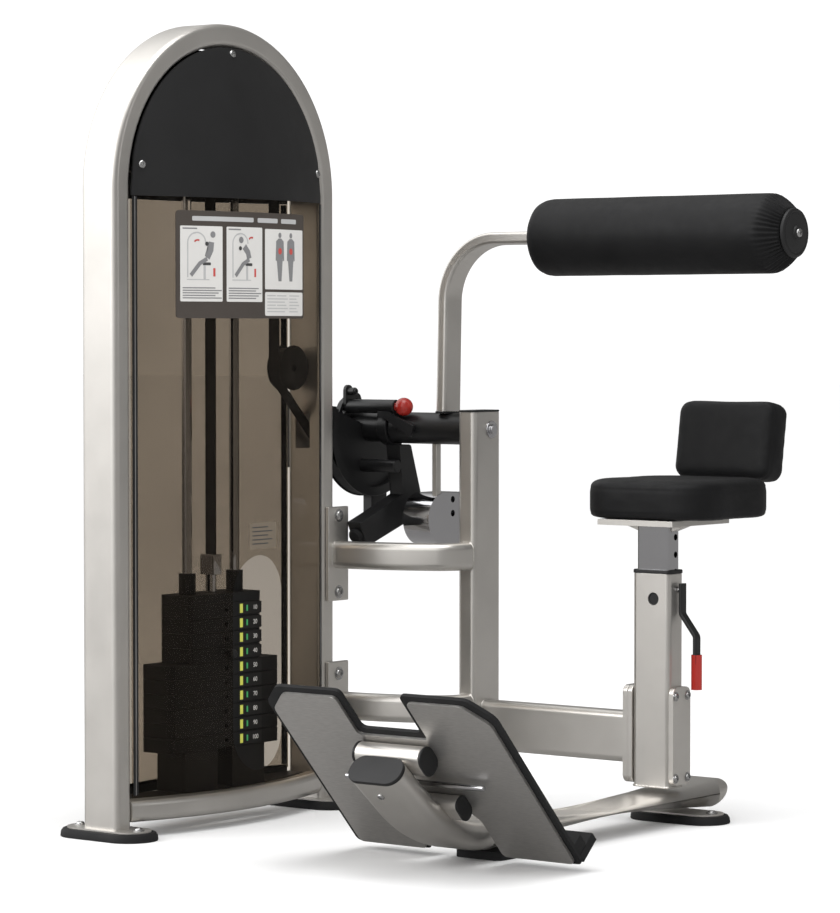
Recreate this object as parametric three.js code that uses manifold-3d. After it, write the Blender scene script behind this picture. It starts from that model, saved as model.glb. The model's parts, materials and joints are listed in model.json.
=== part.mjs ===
// Selectorised abdominal crunch machine: weight tower, side beams, swinging roller arm, seat and foot plate.
// Millimetres, +Z up. The layout is drawn from the tower's centre on the floor: the tower's legs stand along Y,
// the user's seat lies on the +X side and the user faces -Y. The finished group is then moved so that the
// origin is the centre of the footprint.
import * as THREE from 'three';
import { mergeVertices } from 'three/addons/utils/BufferGeometryUtils.js';
import Module from 'manifold-3d';

const wasm = await Module();
wasm.setup();

// ---------------------------------------------------------------------------------------------------------
// Driving dimensions
// ---------------------------------------------------------------------------------------------------------
const GAP = 0.3; // clearance between pieces that touch

// Tower
const HEIGHT = 1750;
const LEG_Y = 342; // leg centre line to tower centre line
const TUBE_W = 100; // tower tube, along X
const TUBE_T = 50; // tower tube, across its bend
const TUBE_CORNER = 12;
const FOOT_LONG = 240;
const FOOT_WIDE = 120;
const FOOT_H = 18;
const SHROUD_T = 4;
const SHROUD_BOW = 60; // how far the shrouds bulge out at the middle
const SHROUD_LOW_Z = 86;
const SHROUD_SPLIT_Z = 1368;
const SHROUD_EDGE_GAP = 1.5;
const RAIL_SIZE = 48;
const RAIL_TOP_Z = 81;
const SLOT_Y = 32;
const SLOT_R = 88;
const SLOT_LOW_Z = 118;
const SLOT_HIGH_Z = 590;
const PLACARD_HALF = 213;
const PLACARD_LOW_Z = 1108;
const PLACARD_HIGH_Z = 1339;
const PLACARD_T = 2;

// Weight stack
const STACK_X = -4;
const PLATE_DEPTH = 90;
const PLATE_PITCH = 32;
const WIDE_PLATES = 6;
const NARROW_PLATES = 4;
const WIDE_PLATE = 356;
const NARROW_PLATE = 236;
const STACK_LOW_Z = 165;
const GUIDE_ROD_Y = 79;
const GUIDE_ROD_R = 11;
const STEM_R = 12;
const PIN_R = 4.5;
const PIN_LEVEL = 4; // plates above the selector pin
const BASE_PLATE_Z = 60;
const ROD_TOP_Z = 1420;
const PULLEY_R = 45;
const PULLEY_Z = 1520;
const BELT_WIDE = 30;
const BELT_T = 3;

// Seat side frame
const SEAT_X = 805; // centre plane of seat, base tube, foot plate and roller pad
const BEAM_Y = 545; // centre plane of main beam and both posts
const POST_X = 326;
const POST_SIZE_X = 50;
const POST_SIZE_Y = 100;
const POST_TOP_Z = 898;
const BEAM_LOW_Z = 134;
const BEAM_HIGH_Z = 246;
const BEAM_WIDE = 50;
const SIDE_BEAM_H = 62;
const SIDE_BEAM_T = 46;
const UPPER_SIDE_Z = 573;
const LOWER_SIDE_Z = 230;
const BASE_WIDE = 130;
const BASE_T = 62;
const BASE_Z = 56;
const BASE_REAR_Y = 752;
const SEAT_POST_X = 96;
const SEAT_POST_Y = 58;
const SEAT_POST_TOP_Z = 553;
const INNER_POST_X = 84;
const INNER_POST_Y = 40;

// Foot plate, drawn flat and then leaned towards -Y
const PLATE_LEAN = THREE.MathUtils.degToRad(43);
const PLATE_FOOT_Y = -137;
const PLATE_FOOT_Z = 13;
const MAT_WIDE = 574;
const MAT_LONG = 480;
const MAT_T = 8;
const STEEL_T = 6;
const MAT_OVERHANG = 25;

// Swinging arm
const PIVOT_Y = 557;
const PIVOT_Z = 858;
const SHAFT_R = 15;
const SLEEVE_R = 36;
const CAM_R = 160;
const CAM_GROOVE_R = 153;
const CAM_BELT_R = CAM_GROOVE_R + 1 + BELT_T / 2; // to the middle of the belt
const ARM_X = 228;
const ARM_THIN = 26;
const ARM_WIDE = 60;
const ARM_BEND_R = 140;
const ARM_LEAN = THREE.MathUtils.degToRad(1.5);
const ROLLER_Z = 1289;
const ROLLER_R = 86;
const ROLLER_LEFT_X = 492;
const ROLLER_RIGHT_X = 1104;
const AXLE_R = 16;
const PIN_BARREL_R = 16;
const PULL_PIN_Y = 523;
const PULL_PIN_Z = 907;

// Seat
const CUSHION_W = 340;
const CUSHION_D = 336;
const CUSHION_CORNER = 96;
const CUSHION_Y = 625;
const CUSHION_LOW_Z = 671;
const CUSHION_HIGH_Z = 756;
const BACK_W = 262;
const BACK_H = 184;
const BACK_T = 74;
const BACK_LEAN = THREE.MathUtils.degToRad(9);
const BACK_FOOT_Y = 798;
const BACK_FOOT_Z = 748;

// ---------------------------------------------------------------------------------------------------------
// Materials
// ---------------------------------------------------------------------------------------------------------
function finish(color, roughness, metalness) {
  return new THREE.MeshStandardMaterial({ color, roughness, metalness });
}

const silver = finish(0xb5b2ac, 0.35, 0.75);
const steelPlate = finish(0x8b8985, 0.45, 0.8);
const chrome = finish(0xd8d9dc, 0.08, 1);
const blackPaint = finish(0x1d1e20, 0.5, 0.3);
const blackPlastic = finish(0x222325, 0.45, 0);
const rubber = finish(0x1a1a1c, 0.8, 0);
const vinyl = finish(0x202022, 0.55, 0);
const redPlastic = finish(0xc22a26, 0.3, 0);
const castIron = finish(0x2b2b2d, 0.6, 0.4);
const label = finish(0x4a4845, 0.5, 0);
const smokedAcrylic = new THREE.MeshStandardMaterial({
  color: 0x6b6052,
  roughness: 0.08,
  metalness: 0,
  transparent: true,
  opacity: 0.55,
});

// ---------------------------------------------------------------------------------------------------------
// Solids
// ---------------------------------------------------------------------------------------------------------
function toSolid(geometry) {
  const bare = geometry.clone();
  bare.deleteAttribute('normal');
  bare.deleteAttribute('uv');
  const merged = mergeVertices(bare, 1e-3);
  const vertProperties = new Float32Array(merged.attributes.position.array);
  const triVerts = new Uint32Array(merged.index.array);
  return new wasm.Manifold(new wasm.Mesh({ numProp: 3, vertProperties, triVerts }));
}

function fromSolid(solid) {
  const mesh = solid.getMesh();
  const geometry = new THREE.BufferGeometry();
  geometry.setAttribute('position', new THREE.BufferAttribute(new Float32Array(mesh.vertProperties), 3));
  geometry.setIndex(new THREE.BufferAttribute(new Uint32Array(mesh.triVerts), 1));
  return geometry;
}

function cut(geometry, ...tools) {
  const start = toSolid(geometry);
  return fromSolid(tools.reduce((solid, tool) => solid.subtract(toSolid(tool)), start));
}

function join(geometry, ...others) {
  const start = toSolid(geometry);
  return fromSolid(others.reduce((solid, other) => solid.add(toSolid(other)), start));
}

function box(x0, x1, y0, y1, z0, z1) {
  const geometry = new THREE.BoxGeometry(x1 - x0, y1 - y0, z1 - z0);
  return geometry.translate((x0 + x1) / 2, (y0 + y1) / 2, (z0 + z1) / 2);
}

// Rectangle with round corners, centred on (x, y)
function roundRect(wide, high, radius, x = 0, y = 0) {
  const a = wide / 2 - radius;
  const b = high / 2 - radius;
  const shape = new THREE.Shape();
  shape.absarc(x + a, y + b, radius, 0, Math.PI / 2, false);
  shape.absarc(x - a, y + b, radius, Math.PI / 2, Math.PI, false);
  shape.absarc(x - a, y - b, radius, Math.PI, 1.5 * Math.PI, false);
  shape.absarc(x + a, y - b, radius, 1.5 * Math.PI, 2 * Math.PI, false);
  return shape;
}

function polygon(points) {
  return new THREE.Shape(points.map(([x, y]) => new THREE.Vector2(x, y)));
}

// A shape drawn on the XY plane, raised from z0 to z1
function upright(shape, z0, z1, curveSegments = 3) {
  const geometry = new THREE.ExtrudeGeometry(shape, { depth: z1 - z0, bevelEnabled: false, curveSegments });
  return geometry.translate(0, 0, z0);
}

// A shape drawn as (Y, Z), extruded from x0 to x1
function alongX(shape, x0, x1, curveSegments = 3) {
  const geometry = new THREE.ExtrudeGeometry(shape, { depth: x1 - x0, bevelEnabled: false, curveSegments });
  geometry.rotateX(Math.PI / 2);
  geometry.rotateZ(Math.PI / 2);
  return geometry.translate(x0, 0, 0);
}

// A shape drawn in X and Z, extruded from y0 to y1
function alongY(shape, y0, y1) {
  return upright(shape, -y1, -y0, 3).rotateX(Math.PI / 2);
}

// A closed profile of [radius, distance along the axis] turned about the X, Y or Z direction through a point
function turned(profile, axis, [x, y, z], segments = 24) {
  const points = profile.map(([radius, along]) => new THREE.Vector2(radius, along));
  const geometry = new THREE.LatheGeometry(points, segments);
  if (axis === 'x') geometry.rotateZ(-Math.PI / 2);
  if (axis === 'z') geometry.rotateX(Math.PI / 2);
  return geometry.translate(x, y, z);
}

function rod(radius, from, to) {
  return [[0, from], [radius, from], [radius, to], [0, to]];
}

function ring(inner, outer, from, to) {
  return [[inner, from], [outer, from], [outer, to], [inner, to], [inner, from]];
}

// A flat route of straight runs and bends, one section per listed point. The section's first direction is
// square to the plane of the route and its second lies in the plane.
class Route extends THREE.Curve {
  constructor(start, heading, square) {
    super();
    this.square = square.clone().normalize();
    this.points = [start.clone()];
    this.tangents = [heading.clone().normalize()];
  }

  run(length) {
    const tangent = this.tangents.at(-1);
    this.points.push(this.points.at(-1).clone().addScaledVector(tangent, length));
    this.tangents.push(tangent.clone());
    return this;
  }

  // Turns about the square direction, by the right-hand rule, in steps
  bend(radius, degrees, steps) {
    const turn = THREE.MathUtils.degToRad(degrees);
    const from = this.points.at(-1).clone();
    const heading = this.tangents.at(-1).clone();
    const inward = this.square.clone().cross(heading).multiplyScalar(Math.sign(turn));
    const centre = from.clone().addScaledVector(inward, radius);
    for (let i = 1; i <= steps; i += 1) {
      const angle = (turn * i) / steps;
      const spoke = from.clone().sub(centre).applyAxisAngle(this.square, angle);
      this.points.push(centre.clone().add(spoke));
      this.tangents.push(heading.clone().applyAxisAngle(this.square, angle));
    }
    return this;
  }

  getSpacedPoints() {
    return this.points;
  }

  computeFrenetFrames() {
    const normals = this.tangents.map(() => this.square);
    const binormals = this.tangents.map((tangent) => tangent.clone().cross(this.square));
    return { tangents: this.tangents, normals, binormals };
  }

  // The section swept along the route
  sweep(section, curveSegments = 3) {
    const steps = this.points.length - 1;
    return new THREE.ExtrudeGeometry(section, { steps, extrudePath: this, curveSegments });
  }
}

const X_AXIS = new THREE.Vector3(1, 0, 0);
const Y_AXIS = new THREE.Vector3(0, 1, 0);
const Z_AXIS = new THREE.Vector3(0, 0, 1);

const machine = new THREE.Group();

function add(name, geometry, material) {
  const mesh = new THREE.Mesh(geometry, material);
  mesh.name = name;
  machine.add(mesh);
  return mesh;
}

// ---------------------------------------------------------------------------------------------------------
// Tower
// ---------------------------------------------------------------------------------------------------------
const SPRING_Z = HEIGHT - LEG_Y - TUBE_T / 2; // where the legs turn into the arch
const LEG_FOOT_Z = FOOT_H + GAP;
const INNER_Y = LEG_Y - TUBE_T / 2;
const beltHeight = (y) => PIVOT_Z + PIVOT_Y - y - CAM_BELT_R * Math.SQRT2; // its sloping run to the cam

function addArch() {
  const tube = new Route(new THREE.Vector3(0, -LEG_Y, LEG_FOOT_Z), Z_AXIS, X_AXIS)
    .run(SPRING_Z - LEG_FOOT_Z)
    .bend(LEG_Y, -180, 24)
    .run(SPRING_Z - LEG_FOOT_Z)
    .sweep(roundRect(TUBE_W, TUBE_T, TUBE_CORNER), 2);
  const windowX = BELT_WIDE / 2 + 6;
  const beltWindow = box(STACK_X - windowX, STACK_X + windowX, INNER_Y - 20, LEG_Y + TUBE_T,
    beltHeight(LEG_Y + TUBE_T / 2) - 14, beltHeight(INNER_Y) + 14);
  add('tower_arch', cut(tube, beltWindow), silver);
}

function addFeet() {
  const pad = (x, y) => upright(roundRect(FOOT_LONG, FOOT_WIDE, FOOT_WIDE / 2 - 1, x, y), 0, FOOT_H, 4);
  add('tower_foot_front', pad(0, -LEG_Y + 6), rubber);
  add('tower_foot_rear', pad(0, LEG_Y - 6), rubber);
  add('rear_foot', pad(SEAT_X + 5, BASE_REAR_Y - 112), rubber);
  const frontFoot = upright(roundRect(FOOT_WIDE, FOOT_WIDE - 30, 20, SEAT_X, -60), 0, FOOT_H, 3);
  add('front_foot', frontFoot, rubber);
}

// Outline, seen from above, of a bowed strip whose outer face bulges by SHROUD_BOW
function bowedStrip(halfWidth, faceX, thickness, side) {
  const steps = 12;
  const bow = (y) => faceX + SHROUD_BOW * (1 - (y / INNER_Y) ** 2);
  const outer = [];
  const inner = [];
  for (let i = 0; i <= steps; i += 1) {
    const y = halfWidth * (-1 + (2 * i) / steps);
    outer.push([side * bow(y), y]);
    inner.unshift([side * (bow(y) - thickness), y]);
  }
  return polygon(side > 0 ? [...outer, ...inner] : [...inner, ...outer].reverse());
}

function slotCutter() {
  const shape = roundRect(2 * SLOT_R, SLOT_HIGH_Z - SLOT_LOW_Z, SLOT_R - 0.5, SLOT_Y, (SLOT_LOW_Z + SLOT_HIGH_Z) / 2);
  return alongX(shape, 0, 200, 8);
}

// The top shroud: a shallow dome inside the arch, with a short bowed skirt down to the split
function topShroud(side) {
  const radius = INNER_Y - SHROUD_EDGE_GAP;
  const faceX = TUBE_W / 2;
  const rings = 4;
  const outer = [];
  const inner = [];
  for (let i = 0; i <= rings; i += 1) {
    const r = (radius * i) / rings;
    const height = faceX + SHROUD_BOW * (1 - (r / INNER_Y) ** 2);
    inner.push([r, height - SHROUD_T]);
    outer.unshift([r, height]);
  }
  const dome = turned([...inner, ...outer], 'x', [0, 0, SPRING_Z], 40);
  const half = cut(dome, box(-10, 200, -400, 400, SPRING_Z - 400, SPRING_Z));
  const skirt = upright(bowedStrip(radius, faceX, SHROUD_T, 1), SHROUD_SPLIT_Z, SPRING_Z + 0.01);
  const shroud = join(half, skirt);
  if (side < 0) shroud.rotateZ(Math.PI);
  return shroud;
}

function addShrouds() {
  const half = INNER_Y - SHROUD_EDGE_GAP;
  const faceX = TUBE_W / 2;
  const front = upright(bowedStrip(half, faceX, SHROUD_T, 1), SHROUD_LOW_Z, SHROUD_SPLIT_Z - GAP);
  add('shroud_front', cut(front, slotCutter()), smokedAcrylic);
  add('shroud_front_top', topShroud(1), blackPlastic);
  const rear = upright(bowedStrip(half, faceX, SHROUD_T, -1), SHROUD_LOW_Z, SHROUD_SPLIT_Z - GAP);
  add('shroud_rear', rear, smokedAcrylic);
  add('shroud_rear_top', topShroud(-1), blackPlastic);
  const card = upright(bowedStrip(PLACARD_HALF, faceX + PLACARD_T + GAP, PLACARD_T, 1), PLACARD_LOW_Z,
    PLACARD_HIGH_Z);
  add('placard', card, label);
}

function addBaseRail() {
  const chord = INNER_Y - GAP;
  const radius = (chord ** 2 + SHROUD_BOW ** 2) / (2 * SHROUD_BOW);
  const halfAngle = THREE.MathUtils.radToDeg(Math.asin(chord / radius));
  const start = new THREE.Vector3(TUBE_W / 2 - RAIL_SIZE / 2 - 2, -chord, RAIL_TOP_Z - RAIL_SIZE / 2);
  const heading = Y_AXIS.clone().applyAxisAngle(Z_AXIS, -THREE.MathUtils.degToRad(halfAngle));
  const rail = new Route(start, heading, Z_AXIS)
    .bend(radius, 2 * halfAngle, 10)
    .sweep(roundRect(RAIL_SIZE, RAIL_SIZE, 14), 2);
  const beyond = INNER_Y - GAP;
  const ends = [box(-50, 150, -beyond - 60, -beyond, 0, 200), box(-50, 150, beyond, beyond + 60, 0, 200)];
  add('tower_base_rail', cut(rail, ...ends), silver);
}

// ---------------------------------------------------------------------------------------------------------
// Weight stack
// ---------------------------------------------------------------------------------------------------------
const PEDESTAL_H = STACK_LOW_Z - BASE_PLATE_Z - 18 - GAP;
const STACK_TOP_Z = STACK_LOW_Z + PLATE_PITCH * (WIDE_PLATES + NARROW_PLATES);
const HEAD_PLATE_H = 20;
const STEM_TOP_Z = STACK_TOP_Z + HEAD_PLATE_H + 60;

function roundHole(x, y, radius, count = 10) {
  const hole = new THREE.Path();
  for (let i = 0; i < count; i += 1) {
    const angle = (-2 * Math.PI * i) / count;
    const point = [x + radius * Math.cos(angle), y + radius * Math.sin(angle)];
    if (i === 0) hole.moveTo(...point);
    else hole.lineTo(...point);
  }
  hole.closePath();
  return hole;
}

function drilledPlate(width, z0, z1) {
  const shape = roundRect(PLATE_DEPTH, width, 8, STACK_X, 0);
  shape.holes.push(roundHole(STACK_X, -GUIDE_ROD_Y, GUIDE_ROD_R + 1.5));
  shape.holes.push(roundHole(STACK_X, GUIDE_ROD_Y, GUIDE_ROD_R + 1.5));
  shape.holes.push(roundHole(STACK_X, 0, STEM_R + 1.5));
  return upright(shape, z0, z1, 1);
}

function plateLevel(index) {
  return STACK_TOP_Z - PLATE_PITCH * (index - 0.5);
}

function addPlates() {
  const total = WIDE_PLATES + NARROW_PLATES;
  for (let i = 1; i <= total; i += 1) {
    const width = i <= NARROW_PLATES ? NARROW_PLATE : WIDE_PLATE;
    const middle = plateLevel(i);
    const plate = drilledPlate(width, middle - PLATE_PITCH / 2 + GAP, middle + PLATE_PITCH / 2 - GAP);
    const pinHole = turned(rod(PIN_R + 1.5, 0, PLATE_DEPTH), 'x', [STACK_X, 0, middle], 6);
    add(`weight_plate_${i}`, cut(plate, pinHole), castIron);
  }
  const headPlate = drilledPlate(NARROW_PLATE, STACK_TOP_Z + GAP, STACK_TOP_Z + HEAD_PLATE_H);
  const boss = (y) => turned(ring(GUIDE_ROD_R + 1.5, 19, STACK_TOP_Z + 10, STACK_TOP_Z + 66), 'z', [STACK_X, y, 0], 12);
  const bearings = [boss(-GUIDE_ROD_Y), boss(GUIDE_ROD_Y)];
  add('head_plate', join(headPlate, ...bearings), castIron);
}

function addSelector() {
  const lowest = plateLevel(WIDE_PLATES + NARROW_PLATES) - 12;
  const stem = turned(rod(STEM_R, lowest, STEM_TOP_Z), 'z', [STACK_X, 0, 0], 12);
  const tools = [];
  for (let i = 1; i <= WIDE_PLATES + NARROW_PLATES; i += 1) {
    tools.push(turned(rod(PIN_R + 1.5, -2 * STEM_R, 2 * STEM_R), 'x', [STACK_X, 0, plateLevel(i)], 6));
  }
  const clamp = box(STACK_X - 20, STACK_X + 20, -13, 13, STEM_TOP_Z - 20, STEM_TOP_Z + 24);
  add('selector_stem', join(cut(stem, ...tools), clamp), chrome);
  const pinZ = plateLevel(PIN_LEVEL);
  const front = STACK_X + PLATE_DEPTH / 2;
  const profile = [[0, STACK_X - 10], [PIN_R, STACK_X - 10], [PIN_R, front + 3], [8, front + 3],
    [10, front + 7], [10, front + 22], [7, front + 26], [0, front + 26]];
  add('selector_pin', turned(profile, 'x', [0, 0, pinZ], 12), blackPlastic);
}

function addStackGuides() {
  const top = BASE_PLATE_Z + 18;
  const half = INNER_Y - GAP;
  const outline = [[-44, -half], [-3, -half], [36, -165], [36, 165], [-3, half], [-44, half]];
  const plate = upright(polygon(outline), BASE_PLATE_Z, top);
  const pedestal = (y) => box(STACK_X - 40, STACK_X + 40, y - 55, y + 55, top - 1, top + PEDESTAL_H);
  const rodHole = (y) => turned(rod(GUIDE_ROD_R + GAP, top, top + 200), 'z', [STACK_X, y, 0], 12);
  const base = join(plate, pedestal(-GUIDE_ROD_Y), pedestal(GUIDE_ROD_Y));
  add('stack_base', cut(base, rodHole(-GUIDE_ROD_Y), rodHole(GUIDE_ROD_Y)), blackPaint);
  const names = ['front', 'rear'];
  [-GUIDE_ROD_Y, GUIDE_ROD_Y].forEach((y, i) => {
    add(`guide_rod_${names[i]}`, turned(rod(GUIDE_ROD_R, top + GAP, ROD_TOP_Z), 'z', [STACK_X, y, 0], 12), chrome);
  });
}

const RISER_Y = 217; // where the belt climbs inside the rear leg
const BELT_BEND_R = PULLEY_R + 1 + BELT_T / 2;
const STACK_PULLEY_Y = BELT_BEND_R;
const RISER_PULLEY_Y = RISER_Y - BELT_BEND_R;
const LOW_PULLEY_Y = RISER_Y + BELT_BEND_R;
const LOW_PULLEY_Z = beltHeight(LOW_PULLEY_Y) + BELT_BEND_R * Math.SQRT2;

function pulley(name, y, z) {
  const half = BELT_WIDE / 2;
  const profile = [[8, -half - 4], [PULLEY_R + 6, -half - 4], [PULLEY_R + 6, -half - 1], [PULLEY_R, -half - 1],
    [PULLEY_R, half + 1], [PULLEY_R + 6, half + 1], [PULLEY_R + 6, half + 4], [8, half + 4], [8, -half - 4]];
  add(name, turned(profile, 'x', [STACK_X, y, z], 20), blackPlastic);
}

function addPulleys() {
  pulley('pulley_stack', STACK_PULLEY_Y, PULLEY_Z);
  pulley('pulley_riser', RISER_PULLEY_Y, PULLEY_Z);
  pulley('pulley_low', LOW_PULLEY_Y, LOW_PULLEY_Z);
}

// Top plate that locates the guide rods, with the cheek plate and axles of the upper pulleys
function addRodTopPlate() {
  const cheekX = STACK_X - BELT_WIDE / 2 - 12;
  const half = Math.sqrt(INNER_Y ** 2 - (ROD_TOP_Z + 8 - SPRING_Z) ** 2) - 1.5;
  const bar = box(STACK_X - 36, STACK_X + 36, -half, half, ROD_TOP_Z + GAP, ROD_TOP_Z + 8);
  const beltGap = (y) => box(STACK_X - 18, STACK_X + 18, y - 8, y + 8, ROD_TOP_Z - 10, ROD_TOP_Z + 20);
  const cheek = box(cheekX - 6, cheekX, -20, 235, ROD_TOP_Z + 4, PULLEY_Z + 20);
  const axle = (y) => turned(rod(7.5, cheekX - 3, STACK_X + BELT_WIDE / 2 + 8), 'x', [0, y, PULLEY_Z], 12);
  const plate = cut(bar, beltGap(0), beltGap(RISER_Y));
  add('rod_top_plate', join(plate, cheek, axle(STACK_PULLEY_Y), axle(RISER_PULLEY_Y)), blackPaint);
}

function addBelts() {
  const section = polygon([[15, -1.5], [15, 1.5], [-15, 1.5], [-15, -1.5]]);
  const start = new THREE.Vector3(STACK_X, 0, PULLEY_Z);
  const toCam = ((PIVOT_Y - LOW_PULLEY_Y) - (CAM_BELT_R - BELT_BEND_R) * Math.SQRT1_2) * Math.SQRT2;
  const loop = new Route(start, Z_AXIS, X_AXIS)
    .bend(BELT_BEND_R, -90, 6)
    .run(RISER_PULLEY_Y - STACK_PULLEY_Y)
    .bend(BELT_BEND_R, -90, 6)
    .run(PULLEY_Z - LOW_PULLEY_Z)
    .bend(BELT_BEND_R, 45, 4)
    .run(toCam)
    .bend(CAM_BELT_R, 42, 6);
  add('belt_loop', loop.sweep(section, 1), rubber);
  const low = STEM_TOP_Z + 24 + GAP;
  const run = upright(roundRect(BELT_WIDE, BELT_T, 0.6, STACK_X, 0), low, PULLEY_Z - 2 * GAP, 1);
  add('belt_stack_run', run, rubber);
}

// ---------------------------------------------------------------------------------------------------------
// Frame on the seat side
// ---------------------------------------------------------------------------------------------------------
const BRACKET_X = TUBE_W / 2 + GAP;
const BRACKET_T = 10;

// A flat tube that leaves the rear leg along X and turns back to meet the pivot post, with its leg bracket.
// Its curve is a quarter of an oval: a long arc, then a tight one.
function sideBeam(name, z, bracketLow, bracketHigh) {
  const postSideY = BEAM_Y - POST_SIZE_Y / 2;
  const startX = BRACKET_X + BRACKET_T - 1;
  const reach = POST_X - startX;
  const tightR = 68;
  const longR = 2 * reach - tightR;
  const beam = new Route(new THREE.Vector3(startX, 0, z), X_AXIS, Z_AXIS)
    .bend(longR, 30, 4)
    .bend(tightR, 60, 5)
    .run(6);
  const startY = postSideY - GAP - beam.points.at(-1).y;
  const tube = beam.sweep(roundRect(SIDE_BEAM_H, SIDE_BEAM_T, 14), 2).translate(0, startY, 0);
  const plate = upright(roundRect(BRACKET_T, 72, 3, BRACKET_X + BRACKET_T / 2, startY), bracketLow, bracketHigh, 1);
  add(name, join(plate, tube), silver);
}

function addSideBeams() {
  sideBeam('side_beam_upper', UPPER_SIDE_Z, 468, 682);
  sideBeam('side_beam_lower', LOWER_SIDE_Z, 150, 330);
}

function addPivotPost() {
  const post = upright(roundRect(POST_SIZE_X, POST_SIZE_Y, TUBE_CORNER, POST_X, BEAM_Y), BEAM_LOW_Z, POST_TOP_Z);
  const bore = turned(rod(SHAFT_R + GAP, POST_X - 60, POST_X + 60), 'x', [0, PIVOT_Y, PIVOT_Z], 16);
  add('pivot_post', cut(post, bore), silver);
}

const SEAT_POST_LEFT_X = SEAT_X + 9 - SEAT_POST_X / 2;
const SEAT_POST_RIGHT_X = SEAT_POST_LEFT_X + SEAT_POST_X;
const SEAT_POST_MID_X = (SEAT_POST_LEFT_X + SEAT_POST_RIGHT_X) / 2;
const FLANGE_T = 12;
const FLANGE_LOW_Z = 92;
const FLANGE_HIGH_Z = 306;

// A clamp plate beside the seat post: flat, standing square to X, with round corners
function clampPlate(x0, x1) {
  const shape = roundRect(68, FLANGE_HIGH_Z - FLANGE_LOW_Z, 14, BEAM_Y + 4, (FLANGE_LOW_Z + FLANGE_HIGH_Z) / 2);
  return alongX(shape, x0, x1, 3);
}

function addMainBeam() {
  const flangeX = SEAT_POST_LEFT_X - 2 * FLANGE_T - GAP;
  const middle = (BEAM_LOW_Z + BEAM_HIGH_Z) / 2;
  const section = roundRect(BEAM_WIDE, BEAM_HIGH_Z - BEAM_LOW_Z, TUBE_CORNER, BEAM_Y, middle);
  const beam = alongX(section, POST_X + POST_SIZE_X / 2 + GAP, flangeX + 1);
  add('main_beam', join(beam, clampPlate(flangeX, flangeX + FLANGE_T)), silver);
  const clamp = clampPlate(SEAT_POST_RIGHT_X + GAP, SEAT_POST_RIGHT_X + GAP + FLANGE_T);
  add('post_clamp_plate', clamp, silver);
}

function addSeatPost() {
  const low = BASE_Z + BASE_T / 2 + GAP;
  const outline = roundRect(SEAT_POST_X, SEAT_POST_Y, 10, SEAT_POST_MID_X, BEAM_Y);
  const tube = upright(outline, low, SEAT_POST_TOP_Z);
  const cavity = upright(roundRect(INNER_POST_X + 1.2, INNER_POST_Y + 1.2, 6, SEAT_POST_MID_X, BEAM_Y), 130, 700, 2);
  const flange = clampPlate(SEAT_POST_LEFT_X - FLANGE_T, SEAT_POST_LEFT_X + 2);
  const holeTop = turned(rod(14, -60, 0), 'y', [SEAT_POST_MID_X + 7, BEAM_Y, 498], 16);
  const pinHole = turned(rod(LOCK_PIN_R + 0.7, SEAT_POST_MID_X, SEAT_POST_MID_X + 90), 'x',
    [0, BEAM_Y + 6, LOCK_PIN_Z], 12);
  const earX = SEAT_POST_RIGHT_X - 1;
  const ear = (y) => box(earX, earX + 22, y, y + 5, LEVER_PIVOT_Z - 22, LEVER_PIVOT_Z + 14);
  const solid = join(tube, flange, ear(BEAM_Y - 11), ear(BEAM_Y + 18));
  add('seat_post_outer', cut(solid, cavity, holeTop, pinHole), silver);
}

const BASE_CURVE_Y = -118;
const BASE_RISE = 40;

function addBaseTube() {
  const section = roundRect(BASE_WIDE, BASE_T, BASE_T / 2 - 1);
  const tube = new Route(new THREE.Vector3(SEAT_X, BASE_REAR_Y - 40, BASE_Z), Y_AXIS.clone().negate(), X_AXIS)
    .run(BASE_REAR_Y - 40 - BASE_CURVE_Y)
    .bend(350, -BASE_RISE, 7)
    .run(112)
    .sweep(section, 3);
  const rearEnd = new Route(new THREE.Vector3(SEAT_X, BASE_REAR_Y - 60, BASE_Z), Y_AXIS, X_AXIS)
    .bend(130, 24, 2)
    .sweep(section, 3);
  const cross = (along, half, wide, thick) => {
    const shape = roundRect(wide, thick, thick / 2 - 1, along, GAP + thick / 2);
    return leaned(alongX(shape, -half, half, 3));
  };
  const upper = cross(322, 80, 62, 48);
  const lower = cross(176, 90, 56, 36);
  add('base_tube', join(tube, rearEnd, upper, lower), silver);
}

// ---------------------------------------------------------------------------------------------------------
// Foot plate: a rubber mat bonded to a smaller steel plate, both notched at the top and slotted at the foot
// ---------------------------------------------------------------------------------------------------------
function plateOutline(inset, low) {
  const half = MAT_WIDE / 2 - inset;
  const top = MAT_LONG - inset;
  const chamfer = 48;
  const notch = 75 + inset;
  const notchLow = 371 - inset;
  const slot = 90 + inset * 0.5;
  const slotTop = 150 + inset * 0.5;
  return polygon([[-half, low], [-slot, low], [-slot, slotTop - 40], [-slot + 30, slotTop], [slot - 30, slotTop],
    [slot, slotTop - 40], [slot, low], [half, low], [half, top - chamfer], [half - chamfer, top], [notch, top],
    [notch, notchLow], [-notch, notchLow], [-notch, top], [-half + chamfer, top], [-half, top - chamfer]]);
}

function leaned(geometry) {
  geometry.rotateX(Math.PI / 2 + PLATE_LEAN);
  return geometry.translate(SEAT_X, PLATE_FOOT_Y, PLATE_FOOT_Z);
}

function addFootPlate() {
  const heel = (x0, x1) => box(x0, x1, 0, 22, -STEEL_T - MAT_T - 58, -STEEL_T - 2);
  const step = (x0, x1) => box(x0, x1, 22, 52, -STEEL_T - MAT_T - 28, -STEEL_T - 2);
  const half = MAT_WIDE / 2;
  const sheet = upright(plateOutline(0, 0), -STEEL_T - MAT_T, -STEEL_T - GAP, 1);
  const mat = join(sheet, heel(-half, -90), heel(90, half), step(-half, -90), step(90, half));
  add('foot_mat', leaned(mat), rubber);
  add('foot_plate', leaned(upright(plateOutline(MAT_OVERHANG, 6), -STEEL_T, 0, 1)), steelPlate);
}

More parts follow.
